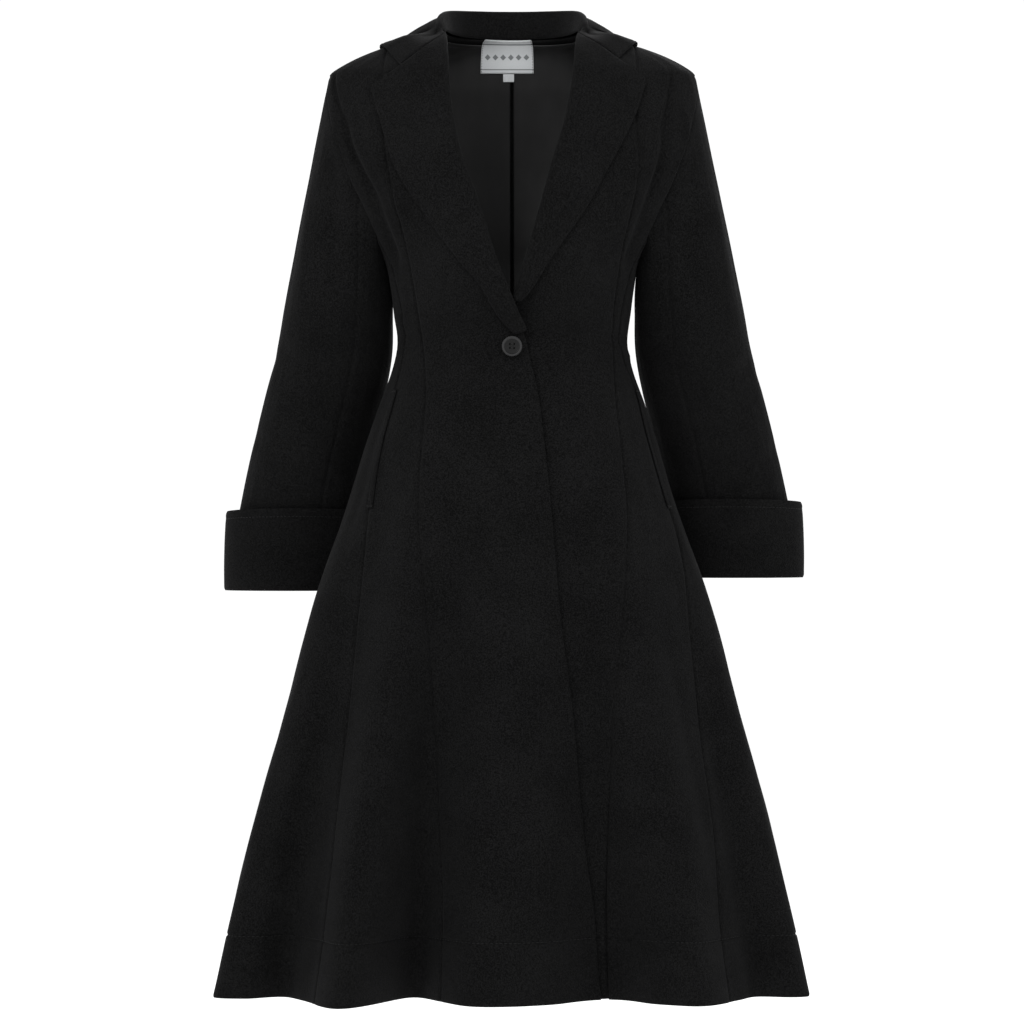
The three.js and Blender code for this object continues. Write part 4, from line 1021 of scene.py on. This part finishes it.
def tube(name, path, radius, material, sides=8):
    along = unit(np.gradient(path, axis=0))
    across = unit(np.cross(along, np.array([0, 0, 1.0]) + 0 * along))
    up = np.cross(across, along)
    turn = (np.arange(sides) * 2 * math.pi / sides)[None, :, None]
    ring = path[:, None] + radius * (across[:, None] * np.cos(turn) + up[:, None] * np.sin(turn))
    return build(name, metres(ring), tube_faces(len(path), sides), material)


def button_parts(plastic, thread):
    r, t, rim, dish = BUTTON["radius"], BUTTON["thickness"], BUTTON["rim"], BUTTON["dish"]
    inside, floor = r - rim, t - dish
    disc = lathe("button_disc", [
        (0.4, 0), (r - 2.4, 0), (r - 1.2, 0.35), (r - 0.35, 1.1), (r, 2.0), (r, t - 1.4), (r - 0.25, t - 0.7),
        (r - 0.75, t - 0.2), (r - 1.2, t), (inside + 0.1, t - 0.25), (inside - 0.35, t - 0.6),
        (inside - 0.9, floor + 0.12), (inside - 1.5, floor), (4.6, floor - 0.12), (0.4, floor - 0.15),
    ], 96, plastic)
    drilled(disc)
    stand_on_front(disc, BUTTON["stand_off"])
    declare(disc, "button")
    shank = lathe("button_thread_shank", [
        (0.9, 0.9), (1.9, 1.0), (1.7, 1.6), (1.75, 2.4), (1.6, 2.9), (0.8, 3.0),
    ], 32, thread)
    stand_on_front(shank, 0)
    declare(shank, "button_shank")
    at = BUTTON["hole_at"]
    rows = [y * at + STRAND["apart"] * n for y in (-1, 1) for n in (-1, 0, 1)]
    for k, y in enumerate(rows):
        u = np.linspace(0, 1, 25)
        height = floor + STRAND["rise"] * np.sin(np.pi * u) - STRAND["sink"] * (np.abs(2 * u - 1) > 0.97)
        strand = tube(f"button_strand_{k}", points(mix(-at, at, u), y, height), STRAND["radius"], thread)
        stand_on_front(strand, BUTTON["stand_off"])
        declare(strand)


def buttonhole(thread):
    """Close stitches above and below the slit that runs from the button towards the front edge."""
    z = float(BUTTON["z"])
    edge = front_angle(float(TOP_FRONT_EDGE.at("x", z)), z)
    reach = BUTTONHOLE["reach"] / (float(BODY.at("width", z)) * math.pi / 180)
    angle = np.minimum(np.linspace(BUTTONHOLE["from"], reach, 30), edge - BUTTONHOLE["from_edge"])
    for word, way in (("upper", 1), ("lower", -1)):
        level = z + way * BUTTONHOLE["half"]
        path = off_body(angle, level, BUTTONHOLE["proud"])
        stitch_line(f"buttonhole_{word}", path, body_normal(angle, level), thread, **HOLE_STITCHES)


def topstitching(thread):
    """The hem's line of stitches, sewn round each of the large panels in turn."""
    z = float(HEM_STITCH)
    edge = float(line(TOP_FRONT_EDGE, front_angle)(z))
    spans = (("right_front", edge, -89.0, no_dip), ("right_back", -90.0, -179.8, no_dip),
             ("left_back", 179.8, 90.0, no_dip), ("left_front", 89.0, edge + 1.5, under_dip))
    for name, first, last, dip in spans:
        angle = np.linspace(first, last, 500)
        path = off_body(angle, z, dip(angle, z) + 0.02)
        stitch_line(f"hem_stitches_{name}", path, body_normal(angle, z), thread, **HEM_STITCHES)


# Materials


class Shader:
    """A small builder for one material's nodes."""

    def __init__(self, name, **sockets):
        self.material = bpy.data.materials.new(name)
        self.material.use_nodes = True
        self.tree = self.material.node_tree
        self.surface = self.tree.nodes["Principled BSDF"]
        for label, value in sockets.items():
            self.surface.inputs[label.replace("_", " ")].default_value = value
        self.place = self.tree.nodes.new("ShaderNodeTexCoord").outputs["Object"]

    def link(self, a, b):
        self.tree.links.new(a, b)

    def node(self, kind, props=None, **inputs):
        """A new node; an input may be a value or another node's output."""
        node = self.tree.nodes.new("ShaderNode" + kind)
        for name, value in (props or {}).items():
            setattr(node, name, value)
        for label, value in inputs.items():
            socket = node.inputs[label.replace("_", " ")]
            if isinstance(value, bpy.types.NodeSocket):
                self.link(value, socket)
            else:
                socket.default_value = value
        return node

    def noise(self, scale, detail=3.0, stretch=(1, 1, 1)):
        place = self.node("Mapping", Scale=stretch, Vector=self.place).outputs["Vector"]
        return self.node("TexNoise", Scale=scale, Detail=detail, Vector=place).outputs["Fac"]

    def wave(self, scale, direction):
        bands = {"bands_direction": direction}
        return self.node("TexWave", bands, Scale=scale, Vector=self.place).outputs["Fac"]

    def split(self):
        return self.node("SeparateXYZ", Vector=self.place).outputs

    def between(self, value, low, high, start=0.35, end=0.65):
        return self.node("MapRange", From_Min=start, From_Max=end, To_Min=low, To_Max=high,
                         Value=value).outputs["Result"]

    def mixed(self, value, first, second):
        first, second = ((*c, 1) if isinstance(c, tuple) else c for c in (first, second))
        return self.node("Mix", {"data_type": "RGBA"}, A=first, B=second, Factor=value).outputs["Result"]

    def maths(self, operation, a, b=0):
        node = self.node("Math", {"operation": operation})
        for socket, value in zip(node.inputs, (a, b)):
            if isinstance(value, (int, float)):
                socket.default_value = value
            else:
                self.link(value, socket)
        return node.outputs[0]

    def bump(self, height, distance, strength=1.0, under=None):
        inputs = {"Strength": strength, "Distance": distance, "Height": height}
        if under is not None:
            inputs["Normal"] = under
        return self.node("Bump", **inputs).outputs["Normal"]

    def done(self, colour, roughness=None, normal=None):
        for socket, value in (("Base Color", colour), ("Roughness", roughness), ("Normal", normal)):
            if value is not None:
                self.link(value, self.surface.inputs[socket])
        return self.material


def grey(level):
    return (level, level, level * 1.02)


# A material's tones run from dark to light; the numbers of noise, wave and bump are its grain, to a metre
TONES = {
    "wool": (grey(0.0008), grey(0.0058)),
    "satin": (grey(0.0078), grey(0.0110)),
    # the button's light tone is a painted highlight, laid on its rim
    "plastic": (grey(0.0030), grey(0.0230)),
    "thread": (grey(0.004), grey(0.011)),
    "ribbon": ((0.50, 0.52, 0.53), (0.66, 0.67, 0.68)),
    "paper": ((0.96, 0.96, 0.96), (0.97, 0.97, 0.97)),
}
WOOL_SHEEN = {"weight": 0.02, "roughness": 0.55, "tint": (0.5, 0.5, 0.52, 1)}
RIBBON_INK = (0.16, 0.17, 0.175)


def wool_material():
    s = Shader("wool", Specular_IOR_Level=0.06, Sheen_Weight=WOOL_SHEEN["weight"],
               Sheen_Roughness=WOOL_SHEEN["roughness"], Sheen_Tint=WOOL_SHEEN["tint"])
    grain = s.noise(640, 2.0)
    fibre = s.noise(2300)
    nap = s.noise(420, stretch=(1, 1, 0.35))
    cloud = s.noise(17, 2.0)
    tone = s.maths("ADD", s.maths("MULTIPLY", grain, 0.55), s.maths("MULTIPLY", fibre, 0.2))
    tone = s.maths("ADD", tone, s.maths("MULTIPLY", s.maths("ADD", nap, cloud), 0.125))
    normal = s.bump(fibre, 0.00022, 0.8, under=s.bump(grain, 0.0009, 0.7))
    colour = s.mixed(s.between(tone, 0, 1, 0.42, 0.6), *TONES["wool"])
    return s.done(colour, s.between(nap, 0.88, 1.0), normal)


def satin_material():
    s = Shader("satin", Specular_IOR_Level=0.22, Anisotropic=0.5, Sheen_Weight=0.02)
    threads = s.wave(1500, "X")
    soft = s.noise(60, 2.0, (1, 1, 0.4))
    normal = s.bump(soft, 0.0011, 0.35, under=s.bump(threads, 0.00006, 0.35))
    return s.done(s.mixed(s.between(soft, 0, 1), *TONES["satin"]), s.between(soft, 0.34, 0.44), normal)


def plastic_material():
    """Matte plastic, turned, with fine rings; the rim is painted paler than the dish as a painted highlight.
    """
    s = Shader("button_plastic", Specular_IOR_Level=0.12)
    cloud = s.noise(420)
    place = s.split()
    up = s.maths("SUBTRACT", place["Z"], BUTTON["z"] / 1000)
    radius = s.maths("SQRT", s.maths("ADD", s.maths("POWER", place["X"], 2), s.maths("POWER", up, 2)))
    # painted highlight: the rim mask lifts the rim to the light tone for the light it catches, and the dish
    # keeps the dark tone
    painted_highlight_start = (BUTTON["radius"] - BUTTON["rim"] - 0.9) / 1000
    rim = s.between(radius, 0, 1, painted_highlight_start, painted_highlight_start + 0.0009)
    tone = s.maths("ADD", s.maths("MULTIPLY", rim, 0.8), s.maths("MULTIPLY", cloud, 0.2))
    rings = s.maths("SINE", s.maths("MULTIPLY", radius, 9000))
    normal = s.bump(rings, 0.00003, 0.3, under=s.bump(cloud, 0.00008, 0.4))
    return s.done(s.mixed(tone, *TONES["plastic"]), s.between(cloud, 0.45, 0.6), normal)


def thread_material():
    s = Shader("thread", Specular_IOR_Level=0.15, Sheen_Weight=0.03)
    twist = s.noise(3800, 2.0)
    colour = s.mixed(s.between(twist, 0, 1), *TONES["thread"])
    return s.done(colour, s.between(twist, 0.5, 0.7), s.bump(twist, 0.00012, 0.7))


def ribbon_material():
    """Pale damask ribbon: a woven ground with a dark border line and a band of small lozenges."""
    s = Shader("ribbon", Specular_IOR_Level=0.35, Sheen_Weight=0.15)
    weave = s.maths("MULTIPLY", s.wave(560, "X"), s.wave(640, "Z"))
    place = s.split()
    top, bottom, centre = (LABEL[name] / 1000 for name in ("top", "bottom", "centre"))
    pitch, lozenge, reach, rule_in, rule = (LABEL_MOTIF[name] / 1000 for name in LABEL_MOTIF)
    up = s.maths("ABSOLUTE", s.maths("SUBTRACT", place["Z"], (top + bottom) / 2))
    x = s.maths("SUBTRACT", place["X"], centre)
    cell = s.maths("MODULO", s.maths("ADD", x, 10 * pitch), pitch)
    from_cell = s.maths("ABSOLUTE", s.maths("SUBTRACT", cell, pitch / 2))
    lozenges = s.maths("MULTIPLY", s.maths("LESS_THAN", s.maths("ADD", from_cell, up), lozenge),
                       s.maths("LESS_THAN", s.maths("ABSOLUTE", x), reach))
    from_rule = s.maths("ABSOLUTE", s.maths("SUBTRACT", up, (top - bottom) / 2 - rule_in))
    ink = s.maths("MAXIMUM", lozenges, s.maths("LESS_THAN", from_rule, rule / 2))
    ground = s.mixed(s.between(weave, 0, 1, 0.1, 0.8), *TONES["ribbon"])
    return s.done(s.mixed(ink, ground, RIBBON_INK), normal=s.bump(weave, 0.0001, 0.6))


def stage_material():
    s = Shader("stage_paper", Roughness=1.0, Specular_IOR_Level=0.0)
    return s.done(s.mixed(s.between(s.noise(6, 2.0), 0, 1), *TONES["paper"]))


# The scene


def set_stage():
    bpy.ops.mesh.primitive_plane_add(size=14, location=(0, 3, FLOOR))
    floor = bpy.context.object
    floor.name = "stage_floor"
    floor.data.materials.append(stage_material())
    world = bpy.data.worlds.new("studio")
    bpy.context.scene.world = world
    world.use_nodes = True
    background = world.node_tree.nodes["Background"]
    background.inputs["Color"].default_value = (1, 1, 1, 1)
    background.inputs["Strength"].default_value = WORLD_LIGHT


def soft_light(name, place, aim, size, power):
    light = bpy.data.lights.new(name, "AREA")
    light.shape, light.size, light.energy = "SQUARE", size, power
    obj = bpy.data.objects.new(name, light)
    obj.location = place
    obj.rotation_euler = (Vector(aim) - Vector(place)).to_track_quat("-Z", "Y").to_euler()
    bpy.context.scene.collection.objects.link(obj)


def set_camera():
    """Level with the middle of the coat, looking along +Y."""
    camera = bpy.data.cameras.new("camera")
    camera.sensor_width, camera.lens = CAMERA["sensor"], CAMERA["lens"]
    obj = bpy.data.objects.new("camera", camera)
    obj.location = CAMERA["place"]
    obj.rotation_euler = (math.pi / 2, 0, 0)
    bpy.context.scene.collection.objects.link(obj)
    bpy.context.scene.camera = obj


cloth, satin, plastic = wool_material(), satin_material(), plastic_material()
thread, ribbon = thread_material(), ribbon_material()
body_panels(cloth, satin)
make_lapels(cloth)
make_collar(cloth)
make_sleeves(cloth)
make_cuffs(cloth, thread)
welts(cloth, thread)
neck_labels(ribbon, thread)
button_parts(plastic, thread)
buttonhole(thread)
topstitching(thread)
set_stage()
for light in LIGHTS:
    soft_light(*light)
set_camera()
bpy.context.scene.view_settings.view_transform = "Standard"
